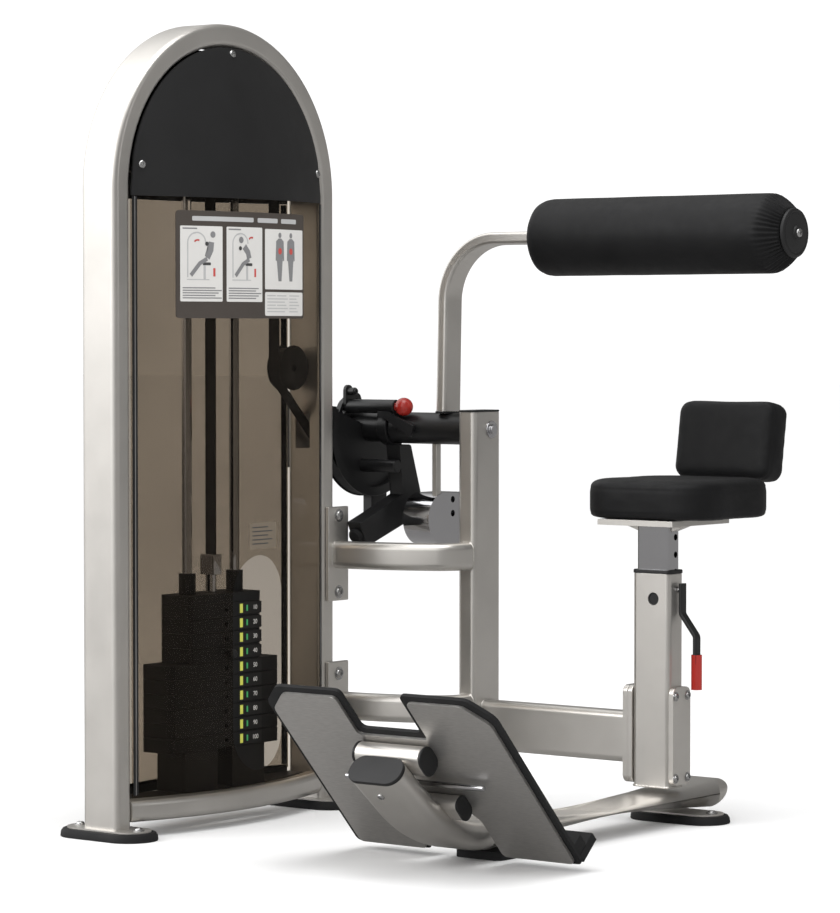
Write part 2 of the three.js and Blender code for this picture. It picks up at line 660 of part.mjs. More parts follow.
// ---------------------------------------------------------------------------------------------------------
// Pivot, cam and swinging arm
// ---------------------------------------------------------------------------------------------------------
const CAM_X = STACK_X;
const CAM_START = 162; // degrees from +Y towards +Z; the rim runs on from here through the bottom
const CAM_END = -35;
const PIVOT_LEFT_X = -92;
const POST_FACE_X = POST_X - POST_SIZE_X / 2;
const SLEEVE_LEFT_X = 52;
const HOLE_PLATE_X = -52;
const HOLE_PLATE_T = 13;
const PIN_BARREL_X = HOLE_PLATE_X + HOLE_PLATE_T + GAP;
const START_STEP = 16; // degrees between the start positions

function addPivot() {
  const right = POST_X + POST_SIZE_X / 2;
  const profile = [[0, PIVOT_LEFT_X - 10], [SHAFT_R, PIVOT_LEFT_X - 10], [SHAFT_R, right + GAP],
    [20, right + GAP], [20, right + 3], [11, right + 3], [11, right + 9], [0, right + 9]];
  add('pivot_shaft', turned(profile, 'x', [0, PIVOT_Y, PIVOT_Z], 24), chrome);
  const legFace = LEG_Y + TUBE_T / 2;
  const outline = polygon([[legFace + 1, PIVOT_Z - 90], [PIVOT_Y + 10, PIVOT_Z - 45],
    [PIVOT_Y + 45, PIVOT_Z - 25], [PIVOT_Y + 45, PIVOT_Z + 30], [PIVOT_Y, PIVOT_Z + 45], [legFace + 1, PIVOT_Z + 60]]);
  const cheek = alongX(outline, PIVOT_LEFT_X, PIVOT_LEFT_X + 12);
  const legPad = box(PIVOT_LEFT_X, -30, legFace + GAP, legFace + 10, PIVOT_Z - 90, PIVOT_Z + 60);
  const bore = turned(rod(SHAFT_R + GAP, PIVOT_LEFT_X - 20, PIVOT_LEFT_X + 40), 'x', [0, PIVOT_Y, PIVOT_Z], 16);
  add('pivot_bracket', cut(join(cheek, legPad), bore), blackPaint);
}

// A point of the cam's side view, from its angle and its distance to the pivot
function onCam(degrees, radius) {
  const angle = THREE.MathUtils.degToRad(degrees);
  return [PIVOT_Y + radius * Math.cos(angle), PIVOT_Z + radius * Math.sin(angle)];
}

// Plate with the holes of the start positions; the pull pin is drawn just short of them
function holePlate() {
  const outline = polygon([[-70, -24], [-70, 28], [-52, 58], [-16, 80], [12, 78], [34, 30], [34, -30], [-10, -40],
    [-50, -36]].map(([y, z]) => [PIVOT_Y + y, PIVOT_Z + z]));
  const plate = alongX(outline, HOLE_PLATE_X, HOLE_PLATE_X + HOLE_PLATE_T + 2);
  const pinAngle = THREE.MathUtils.radToDeg(Math.atan2(PULL_PIN_Z - PIVOT_Z, PULL_PIN_Y - PIVOT_Y));
  const pinRadius = Math.hypot(PULL_PIN_Z - PIVOT_Z, PULL_PIN_Y - PIVOT_Y);
  const holes = [-2, -1, 0, 1].map((step) => {
    const [y, z] = onCam(pinAngle + step * START_STEP, pinRadius);
    return turned(rod(7, HOLE_PLATE_X - 5, PIN_BARREL_X + 5), 'x', [0, y, z], 12);
  });
  const room = cut(box(HOLE_PLATE_X + HOLE_PLATE_T, 0, 400, 700, 780, 960),
    turned(rod(34, HOLE_PLATE_X, 0), 'x', [0, PIVOT_Y, PIVOT_Z], 24));
  return cut(plate, room, ...holes);
}

// The cam: a grooved sector cut away over the top, where the barrel of the pull pin passes
function addCam() {
  const half = BELT_WIDE / 2;
  const web = 5;
  const rimIn = CAM_GROOVE_R - 14;
  const hubLeft = HOLE_PLATE_X - CAM_X;
  const inner = SHAFT_R + GAP;
  const profile = [[inner, hubLeft], [34, hubLeft], [34, -web], [rimIn, -web], [rimIn, -half - 4], [CAM_R, -half - 4],
    [CAM_R, -half - 1], [CAM_GROOVE_R, -half - 1], [CAM_GROOVE_R, half + 1], [CAM_R, half + 1],
    [CAM_R, half + 4], [rimIn, half + 4], [rimIn, web], [34, web], [34, SLEEVE_LEFT_X - CAM_X],
    [inner, SLEEVE_LEFT_X - CAM_X], [inner, hubLeft]];
  const wheel = turned(profile, 'x', [CAM_X, PIVOT_Y, PIVOT_Z], 36);
  const far = 3 * CAM_R;
  const top = polygon([onCam(0, 0), onCam(CAM_END, far), onCam(45, far), onCam(90, far), onCam(CAM_START, far)]);
  const hub = turned(rod(34, CAM_X - 70, CAM_X + 70), 'x', [0, PIVOT_Y, PIVOT_Z], 24);
  const sector = cut(wheel, cut(alongX(top, CAM_X - 66, CAM_X + 66), hub));
  const lug = box(CAM_X - 15, CAM_X + 11, PIVOT_Y - 2, PIVOT_Y + 55, PIVOT_Z - 206, PIVOT_Z - CAM_GROOVE_R + 12);
  const bore = turned(rod(inner, -100, 100), 'x', [0, PIVOT_Y, PIVOT_Z], 36);
  add('cam_wheel', cut(join(sector, lug, holePlate()), bore), blackPaint);
}

// The black crank that hangs below the sleeve and rests against the frame's stop at the start of the stroke
function addStopArm() {
  const hub = turned(rod(42, SLEEVE_LEFT_X + GAP, SLEEVE_LEFT_X + 26), 'x', [0, PIVOT_Y, PIVOT_Z], 24);
  const outline = polygon([[-23, -32], [-2, -155], [-166, -212], [-137, -269], [78, -196], [26, -39],
    [21, -32]].map(([y, z]) => [PIVOT_Y + y, PIVOT_Z + z]));
  const crank = alongX(outline, SLEEVE_LEFT_X + 12, SLEEVE_LEFT_X + 50);
  const boss = turned(rod(15, CAM_X + 5 + GAP, SLEEVE_LEFT_X + 51), 'x', [0, PIVOT_Y - 26, PIVOT_Z - 88], 16);
  const clearance = turned(rod(SLEEVE_R + 1, SLEEVE_LEFT_X + 26.1, 300), 'x', [0, PIVOT_Y, PIVOT_Z], 24);
  const bore = turned(rod(SHAFT_R + GAP, -100, 100), 'x', [0, PIVOT_Y, PIVOT_Z], 24);
  add('stop_arm', cut(join(hub, crank, boss), clearance, bore), blackPaint);
}

function addSleeve() {
  const start = SLEEVE_LEFT_X + 26 + 2 * GAP;
  const end = POST_FACE_X - 1;
  const sleeve = turned(rod(SLEEVE_R, start, end), 'x', [0, PIVOT_Y, PIVOT_Z], 24);
  const barrel = turned(rod(PIN_BARREL_R, PIN_BARREL_X, 106), 'x', [0, PULL_PIN_Y, PULL_PIN_Z], 16);
  const web = box(start, 106, PULL_PIN_Y - 9, PIVOT_Y - 4, PIVOT_Z + 18, PULL_PIN_Z);
  const lug = alongX(roundRect(26, 56, 12, PULL_PIN_Y - 4, PULL_PIN_Z + 21), PIN_BARREL_X, PIN_BARREL_X + 8, 3);
  const lugBolt = turned(rod(9, PIN_BARREL_X, PIN_BARREL_X + 30), 'x', [0, PULL_PIN_Y - 4, PULL_PIN_Z + 34], 12);
  const gussetShape = polygon([[60, 882], [78, 881], [155, 838], [166, 864], [104, 890], [96, 896], [60, 896]]);
  const gusset = alongY(gussetShape, PULL_PIN_Y - 15, PULL_PIN_Y - 7);
  const gussetWeld = box(112, 156, PULL_PIN_Y - 8, PIVOT_Y - 20, 848, 866);
  const solid = join(sleeve, barrel, web, lug, lugBolt, gusset, gussetWeld);
  const pinBore = turned(rod(7, -100, 200), 'x', [0, PULL_PIN_Y, PULL_PIN_Z], 12);
  const shaftBore = turned(rod(SHAFT_R + GAP, -100, 400), 'x', [0, PIVOT_Y, PIVOT_Z], 24);
  add('pivot_sleeve', cut(solid, pinBore, shaftBore), blackPaint);
  const knobX = 127;
  const tip = PIN_BARREL_X + 1;
  const profile = [[0, tip], [6, tip], [6, knobX - 18.5]];
  for (let i = 1; i <= 6; i += 1) {
    const angle = Math.PI * (0.1 + (0.9 * i) / 6);
    profile.push([i === 6 ? 0 : 21 * Math.sin(angle), knobX - 21 * Math.cos(angle)]);
  }
  add('pull_pin', turned(profile, 'x', [0, PULL_PIN_Y, PULL_PIN_Z], 16), redPlastic);
}

function addRollerArm() {
  const lean = new THREE.Vector3(0, Math.sin(ARM_LEAN), Math.cos(ARM_LEAN));
  const square = X_AXIS.clone().cross(lean).negate();
  const footZ = SLEEVE_R + GAP;
  const start = new THREE.Vector3(ARM_X, PIVOT_Y, PIVOT_Z).addScaledVector(lean, footZ);
  const rise = (ROLLER_Z - PIVOT_Z) / Math.cos(ARM_LEAN) - footZ;
  const tube = new Route(start, lean, square)
    .run(rise - ARM_BEND_R)
    .bend(ARM_BEND_R, 90, 9)
    .run(ROLLER_LEFT_X - 12 - ARM_X - ARM_BEND_R)
    .sweep(roundRect(ARM_WIDE, ARM_THIN, 9), 2);
  const axle = turned(rod(AXLE_R, ROLLER_LEFT_X - 30, ROLLER_RIGHT_X + 40), 'x', [0, ROLLER_Y, ROLLER_Z], 16);
  add('roller_arm', join(tube, axle), silver);
}

const ROLLER_Y = PIVOT_Y + (ROLLER_Z - PIVOT_Z) * Math.tan(ARM_LEAN);

function addRoller() {
  const inner = AXLE_R + 0.6;
  const left = ROLLER_LEFT_X;
  const right = ROLLER_RIGHT_X;
  const profile = [[inner, left], [ROLLER_R - 12, left], [ROLLER_R - 3, left + 5], [ROLLER_R, left + 16],
    [ROLLER_R, right - 16], [ROLLER_R - 3, right], [ROLLER_R - 30, right + 37], [inner, right + 38],
    [inner, left]];
  add('roller_pad', turned(profile, 'x', [0, ROLLER_Y, ROLLER_Z], 28), vinyl);
  const capX = right + 41;
  const cap = [[0, capX], [50, capX], [50, capX + 4], [43, capX + 9], [14, capX + 14], [0, capX + 14]];
  add('roller_end_cap', turned(cap, 'x', [0, ROLLER_Y, ROLLER_Z], 20), blackPlastic);
}

// A chromed block with a round nose, hung from the sleeve by a square bar
function addCounterweight() {
  const left = 130;
  const right = 204;
  const noseY = PIVOT_Y + 18;
  const noseR = 60;
  const middleZ = PIVOT_Z - 208;
  const outline = new THREE.Shape();
  outline.moveTo(PIVOT_Y + 88, middleZ + noseR);
  outline.lineTo(PIVOT_Y + 88, middleZ - noseR);
  outline.lineTo(noseY, middleZ - noseR);
  outline.absarc(noseY, middleZ, noseR, -Math.PI / 2, -1.5 * Math.PI, true);
  outline.closePath();
  const weight = alongX(outline, left, right, 12);
  const bar = box(right - 16, right - 2, PIVOT_Y - 8, PIVOT_Y + 8, middleZ + 48, PIVOT_Z - SLEEVE_R - GAP);
  const hole = (z) => turned(rod(7.5, right - 22, right + 10), 'x', [0, PIVOT_Y + 50, z], 12);
  add('counterweight', cut(join(weight, bar), hole(middleZ + 44), hole(middleZ + 12)), chrome);
}

// ---------------------------------------------------------------------------------------------------------
// Seat
// ---------------------------------------------------------------------------------------------------------
const LOCK_PIN_R = 6;
const LOCK_PIN_Z = 518;
const LEVER_PIVOT_Z = 430;
const SEAT_PLATE_LOW_Z = 658;

function addSeat() {
  const inner = upright(roundRect(INNER_POST_X, INNER_POST_Y, 5, SEAT_POST_MID_X, BEAM_Y), 230, SEAT_PLATE_LOW_Z, 2);
  const holes = [];
  for (let i = -3; i <= 3; i += 1) {
    holes.push(turned(rod(LOCK_PIN_R + 1, 0, 90), 'x', [SEAT_POST_MID_X, BEAM_Y + 6, LOCK_PIN_Z + 38 * i], 10));
  }
  add('seat_post_inner', cut(inner, ...holes), chrome);
  const plateTop = CUSHION_LOW_Z - GAP;
  const strapLow = plateTop - 6;
  const strapY = BACK_FOOT_Y + BACK_T + 7;
  const plate = box(SEAT_X - 98, SEAT_X + 98, 467, 692, SEAT_PLATE_LOW_Z + GAP, plateTop);
  const strap = box(SEAT_X - 30, SEAT_X + 30, 691, strapY, strapLow, plateTop);
  const riser = box(SEAT_X - 30, SEAT_X + 30, strapY - 6, strapY, strapLow, 737);
  const backBar = box(-30, 30, BACK_T + GAP, BACK_T + 8, -8, 140);
  backBar.rotateX(-BACK_LEAN);
  backBar.translate(SEAT_X, BACK_FOOT_Y, BACK_FOOT_Z);
  const gusset = (x, out) => alongY(polygon([[x, SEAT_PLATE_LOW_Z + 1], [x, SEAT_PLATE_LOW_Z - 14],
    [x + out, SEAT_PLATE_LOW_Z + 1]]), BEAM_Y - 12, BEAM_Y + 12);
  const left = gusset(SEAT_POST_MID_X - INNER_POST_X / 2 - GAP, -44);
  const right = gusset(SEAT_POST_MID_X + INNER_POST_X / 2 + GAP, 40);
  add('seat_plate', join(plate, strap, riser, backBar, left, right), silver);
  const seatShape = roundRect(CUSHION_W, CUSHION_D, CUSHION_CORNER, SEAT_X + 8, CUSHION_Y);
  add('seat_cushion', upright(seatShape, CUSHION_LOW_Z, CUSHION_HIGH_Z, 6), vinyl);
  const back = new THREE.ExtrudeGeometry(roundRect(BACK_W, BACK_H, 28, 0, BACK_H / 2),
    { depth: BACK_T, bevelEnabled: false, curveSegments: 3 });
  back.rotateX(Math.PI / 2);
  back.translate(0, BACK_T, 0);
  back.rotateX(-BACK_LEAN);
  add('back_cushion', back.translate(SEAT_X, BACK_FOOT_Y, BACK_FOOT_Z), vinyl);
}

function addSeatLever() {
  const x = SEAT_POST_RIGHT_X + 12;
  const y = BEAM_Y + 6;
  const lever = new Route(new THREE.Vector3(x, y, LOCK_PIN_Z + 14), new THREE.Vector3(0, 0, -1), Y_AXIS)
    .run(62)
    .bend(12, -38, 2)
    .run(52)
    .bend(12, 38, 2)
    .run(54)
    .sweep(roundRect(20, 9, 2), 1);
  const pivotBore = turned(rod(4, y - 40, y + 40), 'y', [x + 1, 0, LEVER_PIVOT_Z], 10);
  add('seat_lever', cut(lever, pivotBore), blackPaint);
  const tip = lever.boundingBox ?? new THREE.Box3().setFromBufferAttribute(lever.attributes.position);
  const gripX = tip.max.x - 4.5;
  const gripTop = tip.min.z + 18;
  const grip = turned(rod(12, gripTop - 76, gripTop), 'z', [gripX, y, 0], 16);
  const bore = box(gripX - 5.5, gripX + 5.5, y - 11, y + 11, tip.min.z - 2, gripTop + 10);
  add('lever_grip', cut(grip, bore), redPlastic);
  const pin = turned(rod(LOCK_PIN_R, SEAT_POST_RIGHT_X - 5, x - 6.1), 'x', [0, y, LOCK_PIN_Z], 12);
  add('seat_lock_pin', pin, chrome);
}

addArch();
addFeet();
addShrouds();
addBaseRail();
addStackGuides();
addPlates();
addSelector();
addPulleys();
addRodTopPlate();
addBelts();
addSideBeams();
addPivotPost();
addMainBeam();
addSeatPost();
addBaseTube();
addFootPlate();
addPivot();
addCam();
addStopArm();
addSleeve();
addRollerArm();
addRoller();
addCounterweight();
addSeat();
addSeatLever();

// The origin is the centre of the whole footprint, at floor level
const bounds = new THREE.Box3().setFromObject(machine);
machine.position.set(-(bounds.min.x + bounds.max.x) / 2, -(bounds.min.y + bounds.max.y) / 2, -bounds.min.z);
machine.updateMatrixWorld(true);

export default machine;
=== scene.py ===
"""Looks of the abdominal crunch machine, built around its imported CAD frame.

Lengths named in millimetres are in the drawing frame of the machine: the tower's centre on the floor is
(0, 0, 0), the tower's legs stand along Y, and the seat is on the +X side. at() turns them into the row frame.
"""

import json
import math

import bmesh
import bpy
from mathutils import Matrix, Vector
from mathutils import noise


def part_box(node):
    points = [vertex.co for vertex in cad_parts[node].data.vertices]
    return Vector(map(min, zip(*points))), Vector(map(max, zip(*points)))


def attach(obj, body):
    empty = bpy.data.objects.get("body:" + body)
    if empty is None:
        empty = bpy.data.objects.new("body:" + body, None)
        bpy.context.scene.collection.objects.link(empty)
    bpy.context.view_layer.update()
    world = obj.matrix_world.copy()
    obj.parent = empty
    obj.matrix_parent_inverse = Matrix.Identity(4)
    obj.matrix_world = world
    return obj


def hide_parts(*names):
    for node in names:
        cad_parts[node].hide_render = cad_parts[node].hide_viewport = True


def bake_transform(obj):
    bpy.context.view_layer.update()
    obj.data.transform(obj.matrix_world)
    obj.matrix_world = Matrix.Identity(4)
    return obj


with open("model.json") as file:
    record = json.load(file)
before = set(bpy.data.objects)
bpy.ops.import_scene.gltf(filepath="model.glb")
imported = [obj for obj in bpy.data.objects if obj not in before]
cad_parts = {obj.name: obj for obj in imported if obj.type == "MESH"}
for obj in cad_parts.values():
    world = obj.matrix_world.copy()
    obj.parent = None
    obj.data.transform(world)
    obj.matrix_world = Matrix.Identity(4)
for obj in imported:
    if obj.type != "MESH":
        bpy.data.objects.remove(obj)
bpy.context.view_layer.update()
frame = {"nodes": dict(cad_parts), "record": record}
NODES = frame["nodes"]

MM = 0.001
X = Vector((1, 0, 0))
Y = Vector((0, 1, 0))
Z = Vector((0, 0, 1))
GAP = 0.3
SIDES = ((-1, "a"), (1, "b"))

# Tower
HEIGHT = 1750
LEG_Y = 342
TUBE_W = 100
TUBE_T = 50
SPRING_Z = HEIGHT - LEG_Y - TUBE_T / 2
INNER_Y = LEG_Y - TUBE_T / 2
LEG_FOOT_Z = 18.3
SHROUD_BOW = 60
SHROUD_SPLIT_Z = 1368
SHEET_T = 4
STACK_X = -4
STACK_TOP_Z = 485
PLATE_PITCH = 32
PLATE_COUNT = 10
LIFTED_PLATES = 4
PLATE_FRONT_X = 41

# Seat side
SEAT_X = 805
BEAM_Y = 545
PIVOT_Y = 557
PIVOT_Z = 858
POST_X = 326
SEAT_POST_X = (766, 862)
SEAT_POST_MID_X = 814
CLAMP_T = 12
PLATE_LEAN = math.radians(43)
PLATE_FOOT = Vector((SEAT_X, -137, 13))
ROLLER_Z = 1289
ROLLER_LEFT_X = 492
ROLLER_RIGHT_X = 1100
ARM_LEAN = math.radians(1.5)
PULL_PIN = Vector((0, 523, 907))
ROLLER_Y = PIVOT_Y + (ROLLER_Z - PIVOT_Z) * math.tan(ARM_LEAN)


def tower_centre():
    """The drawing frame's origin in the row frame, in millimetres: the middle of the tower, on the floor."""
    low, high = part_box("tower_arch")
    return Vector(((low[0] + high[0]) / 2, (low[1] + high[1]) / 2, 0)) / MM


ORIGIN = -tower_centre()


def at(x, y, z):
    """A point of the drawing frame, in metres in the row frame."""
    return (Vector((x, y, z)) - ORIGIN) * MM


# ---- Materials ----
def tree(name):
    mat = bpy.data.materials.new(name)
    mat.use_nodes = True
    nodes = mat.node_tree.nodes
    return mat, nodes, mat.node_tree.links, nodes["Principled BSDF"]


def texture(nodes, links, kind, scale, detail=3.0, stretch=(1, 1, 1)):
    """A procedural texture on the object's own coordinates; returns its value socket."""
    coords = nodes.new("ShaderNodeTexCoord")
    mapping = nodes.new("ShaderNodeMapping")
    mapping.inputs["Scale"].default_value = stretch
    tex = nodes.new(kind)
    tex.inputs["Scale"].default_value = scale
    if "Detail" in tex.inputs:
        tex.inputs["Detail"].default_value = detail
    links.new(coords.outputs["Object"], mapping.inputs["Vector"])
    links.new(mapping.outputs["Vector"], tex.inputs["Vector"])
    return tex.outputs[0]


def ramp(nodes, links, value, stops):
    """Maps a value through colour stops [(position, (r, g, b))]."""
    node = nodes.new("ShaderNodeValToRGB")
    while len(node.color_ramp.elements) < len(stops):
        node.color_ramp.elements.new(0.5)
    for element, (position, colour) in zip(node.color_ramp.elements, stops):
        element.position = position
        element.color = (*colour, 1)
    links.new(value, node.inputs["Fac"])
    return node.outputs["Color"]


def spread(nodes, links, value, low, high):
    node = nodes.new("ShaderNodeMapRange")
    node.inputs["To Min"].default_value = low
    node.inputs["To Max"].default_value = high
    links.new(value, node.inputs["Value"])
    return node.outputs["Result"]


def bump(nodes, links, shader, height, strength, distance, before=None):
    node = nodes.new("ShaderNodeBump")
    node.inputs["Strength"].default_value = strength
    node.inputs["Distance"].default_value = distance
    links.new(height, node.inputs["Height"])
    if before is not None:
        links.new(before, node.inputs["Normal"])
    links.new(node.outputs["Normal"], shader.inputs["Normal"])
    return node.outputs["Normal"]


def tones(colour, change):
    """Two colours, one darker and one lighter than the given one."""
    return tuple(c * (1 - change) for c in colour), tuple(min(1, c * (1 + change)) for c in colour)


def worn_surface(name, colour, rough, metallic, change=0.08, grain=900, grain_depth=0.00002,
                 specular=0.5, coat=0.0):
    """A paint, metal or plastic: slow blotches of tone, uneven gloss and a fine grain."""
    mat, nodes, links, shader = tree(name)
    dark, light = tones(colour, change)
    blotches = texture(nodes, links, "ShaderNodeTexNoise", 7, 4)
    links.new(ramp(nodes, links, blotches, [(0.3, dark), (0.7, light)]), shader.inputs["Base Color"])
    smears = texture(nodes, links, "ShaderNodeTexNoise", 16, 5)
    links.new(spread(nodes, links, smears, rough * 0.82, min(1, rough * 1.2)), shader.inputs["Roughness"])
    fine = texture(nodes, links, "ShaderNodeTexNoise", grain, 2)
    bump(nodes, links, shader, fine, 0.35, grain_depth)
    shader.inputs["Metallic"].default_value = metallic
    shader.inputs["Specular IOR Level"].default_value = specular
    shader.inputs["Coat Weight"].default_value = coat
    return mat


def brushed(name, colour, rough, stretch):
    """Metal with fine parallel scratches along one direction."""
    mat, nodes, links, shader = tree(name)
    dark, light = tones(colour, 0.1)
    lines = texture(nodes, links, "ShaderNodeTexNoise", 60, 5, stretch)
    links.new(ramp(nodes, links, lines, [(0.3, dark), (0.7, light)]), shader.inputs["Base Color"])
    links.new(spread(nodes, links, lines, rough * 0.8, rough * 1.25), shader.inputs["Roughness"])
    bump(nodes, links, shader, lines, 0.25, 0.00003)
    shader.inputs["Metallic"].default_value = 0.9
    return mat


def vinyl_leather(name):
    """Black upholstery vinyl: a pebbled grain of cells with soft creases."""
    mat, nodes, links, shader = tree(name)
    blotches = texture(nodes, links, "ShaderNodeTexNoise", 12, 4)
    links.new(ramp(nodes, links, blotches, [(0.3, (0.0055, 0.0055, 0.006)), (0.75, (0.009, 0.009, 0.0095))]),
              shader.inputs["Base Color"])
    cells = texture(nodes, links, "ShaderNodeTexVoronoi", 750)
    creases = texture(nodes, links, "ShaderNodeTexNoise", 55, 5)
    first = bump(nodes, links, shader, creases, 0.25, 0.0006)
    bump(nodes, links, shader, cells, 0.4, 0.00018, first)
    links.new(spread(nodes, links, creases, 0.45, 0.65), shader.inputs["Roughness"])
    shader.inputs["Specular IOR Level"].default_value = 0.17
    shader.inputs["Sheen Weight"].default_value = 0.01
    return mat


def smoked_sheet(name, tint, gloss):
    """Thin clear sheet, tinted bronze: light goes straight through it, and a little is mirrored."""
    mat, nodes, links, shader = tree(name)
    clear = nodes.new("ShaderNodeBsdfTransparent")
    dark, light = tones(tint, 0.03)
    haze = texture(nodes, links, "ShaderNodeTexNoise", 3, 2)
    links.new(ramp(nodes, links, haze, [(0.3, dark), (0.7, light)]), clear.inputs["Color"])
    shader.inputs["Base Color"].default_value = (0.05, 0.045, 0.04, 1)
    smears = texture(nodes, links, "ShaderNodeTexNoise", 20, 4)
    links.new(spread(nodes, links, smears, 0.03, 0.09), shader.inputs["Roughness"])
    layer = nodes.new("ShaderNodeLayerWeight")
    layer.inputs["Blend"].default_value = 0.2
    weight = spread(nodes, links, layer.outputs["Facing"], gloss, 0.2)
    mix = nodes.new("ShaderNodeMixShader")
    links.new(weight, mix.inputs["Fac"])
    links.new(clear.outputs["BSDF"], mix.inputs[1])
    links.new(shader.outputs["BSDF"], mix.inputs[2])
    links.new(mix.outputs["Shader"], nodes["Material Output"].inputs["Surface"])
    return mat


# name, colour, roughness, metallic, change of tone, grain, grain depth, specular, coat
SURFACES = (
    ("silver_paint", (0.64, 0.618, 0.585), 0.34, 0.9, 0.05, 1400, 0.00003),
    ("chrome", (0.55, 0.55, 0.565), 0.09, 1.0, 0.03, 300, 0.000004),
    ("black_paint", (0.009, 0.009, 0.0095), 0.38, 0.0, 0.15, 1100, 0.00004, 0.4),
    ("black_plastic", (0.012, 0.012, 0.0125), 0.46, 0.0, 0.12, 1500, 0.00005, 0.35),
    ("rubber", (0.012, 0.012, 0.0125), 0.7, 0.0, 0.15, 600, 0.00008, 0.25),
    ("red_plastic", (0.34, 0.02, 0.014), 0.25, 0.0, 0.06, 300, 0.00001, 0.4, 0.25),
    ("cast_iron", (0.009, 0.009, 0.0095), 0.55, 0.0, 0.2, 500, 0.00012, 0.3),
    ("label", (0.062, 0.052, 0.045), 0.5, 0.0, 0.06, 900, 0.00001, 0.25),
)
MATS = {row[0]: worn_surface(*row) for row in SURFACES} | {
    "plate_steel": brushed("plate_steel", (0.5, 0.487, 0.47), 0.4, (1, 12, 1)),
    "vinyl": vinyl_leather("vinyl"),
    "smoked_acrylic": smoked_sheet("smoked_acrylic", (0.78, 0.745, 0.698), 0.03),
}
PRINTS = (
    ("white_print", (0.62, 0.61, 0.59), 0.5, 0.03),
    ("dark_print", (0.05, 0.05, 0.05), 0.5, 0.05),
    ("red_print", (0.5, 0.06, 0.05), 0.5, 0.05),
    ("yellow_print", (0.62, 0.66, 0.1), 0.45, 0.05),
    ("green_print", (0.05, 0.4, 0.12), 0.45, 0.05),
    ("grey_print", (0.2, 0.2, 0.205), 0.5, 0.04),
    ("pale_print", (0.42, 0.42, 0.42), 0.5, 0.04),
)
# A finish is a material with the record's slot that it belongs to
FINISHES = {slot: (mat, slot) for slot, mat in MATS.items()}
for print_name, colour, rough, change in PRINTS:
    FINISHES[print_name] = (worn_surface(print_name, colour, rough, 0.0, change, 900, 0.00001), "label")
FINISHES |= {
    "tan_print": (worn_surface("tan_print", (0.17, 0.14, 0.105), 0.5, 0.0, 0.05, 900, 0.00001, 0.2), "label"),
    "number_strip": (MATS["black_plastic"], "label"),
    "zinc": (worn_surface("zinc", (0.5, 0.5, 0.5), 0.25, 1.0, 0.08, 500, 0.00002), "chrome"),
    "black_bolt": (MATS["black_paint"], "chrome"),
    "black_weld": (MATS["black_paint"], "silver_paint"),
    # The rear sheet is the same acrylic as the front one, tinted darker: painted shade of the tower's inside,
    # seen through both sheets.
    "smoked_back_painted_shade": (smoked_sheet("smoked_acrylic_back", (0.552, 0.52, 0.48), 0.03), "smoked_acrylic"),
}


# ---- Meshes ----
PIECES = []


def link_mesh(name, bm):
    mesh = bpy.data.meshes.new(name)
    bm.to_mesh(mesh)
    bm.free()
    obj = bpy.data.objects.new(name, mesh)
    bpy.context.scene.collection.objects.link(obj)
    return obj


def box_mesh(low, high):
    bm = bmesh.new()
    bmesh.ops.create_cube(bm, size=1)
    for v in bm.verts:
        v.co = Vector([(l + h) / 2 + c * (h - l) for l, h, c in zip(low, high, v.co)])
    return bm


def level_ring(x, y, z, section):
    """A section's points laid level round (x, y, z)."""
    return [Vector((x + a, y + b, z)) for a, b in section]


def dress(obj, finish, body):
    """Gives an object its material and slot, and the CAD body it rides on, if any."""
    material, slot = FINISHES[finish]
    obj.data.materials.clear()
    obj.data.materials.append(material)
    if body:
        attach(obj, body)


def finish_mesh(name, bm, finish="silver_paint", body="frame", sharp=35):
    """Makes an object of a bmesh in millimetres of the drawing frame, and lets it ride on a CAD body."""
    for v in bm.verts:
        v.co = at(*v.co)
    bmesh.ops.recalc_face_normals(bm, faces=bm.faces)
    obj = link_mesh(name, bm)
    obj.data.shade_smooth()
    obj.data.set_sharp_from_angle(angle=math.radians(sharp))
    dress(obj, finish, body)
    PIECES.append(obj)
    return obj


def rings_to_bmesh(rings, caps=True, closed=False):
    """Joins rings of points, each with the same count, into a tube of quads."""
    bm = bmesh.new()
    grid = [[bm.verts.new(p) for p in ring] for ring in rings]
    count = len(grid[0])
    spans = len(grid) if closed else len(grid) - 1
    for i in range(spans):
        here, there = grid[i], grid[(i + 1) % len(grid)]
        for j in range(count):
            k = (j + 1) % count
            bm.faces.new((here[j], here[k], there[k], there[j]))
    if caps and not closed:
        bm.faces.new(list(reversed(grid[0])))
        bm.faces.new(grid[-1])
    return bm


def round_rect(wide, high, radius, steps=5):
    """Points round a rectangle with round corners, centred on (0, 0)."""
    points = []
    corners = [(1, 1, 0), (-1, 1, 90), (-1, -1, 180), (1, -1, 270)]
    for sx, sy, start in corners:
        cx = sx * (wide / 2 - radius)
        cy = sy * (high / 2 - radius)
        for i in range(steps + 1):
            a = math.radians(start + 90 * i / steps)
            points.append((cx + radius * math.cos(a), cy + radius * math.sin(a)))
    return points


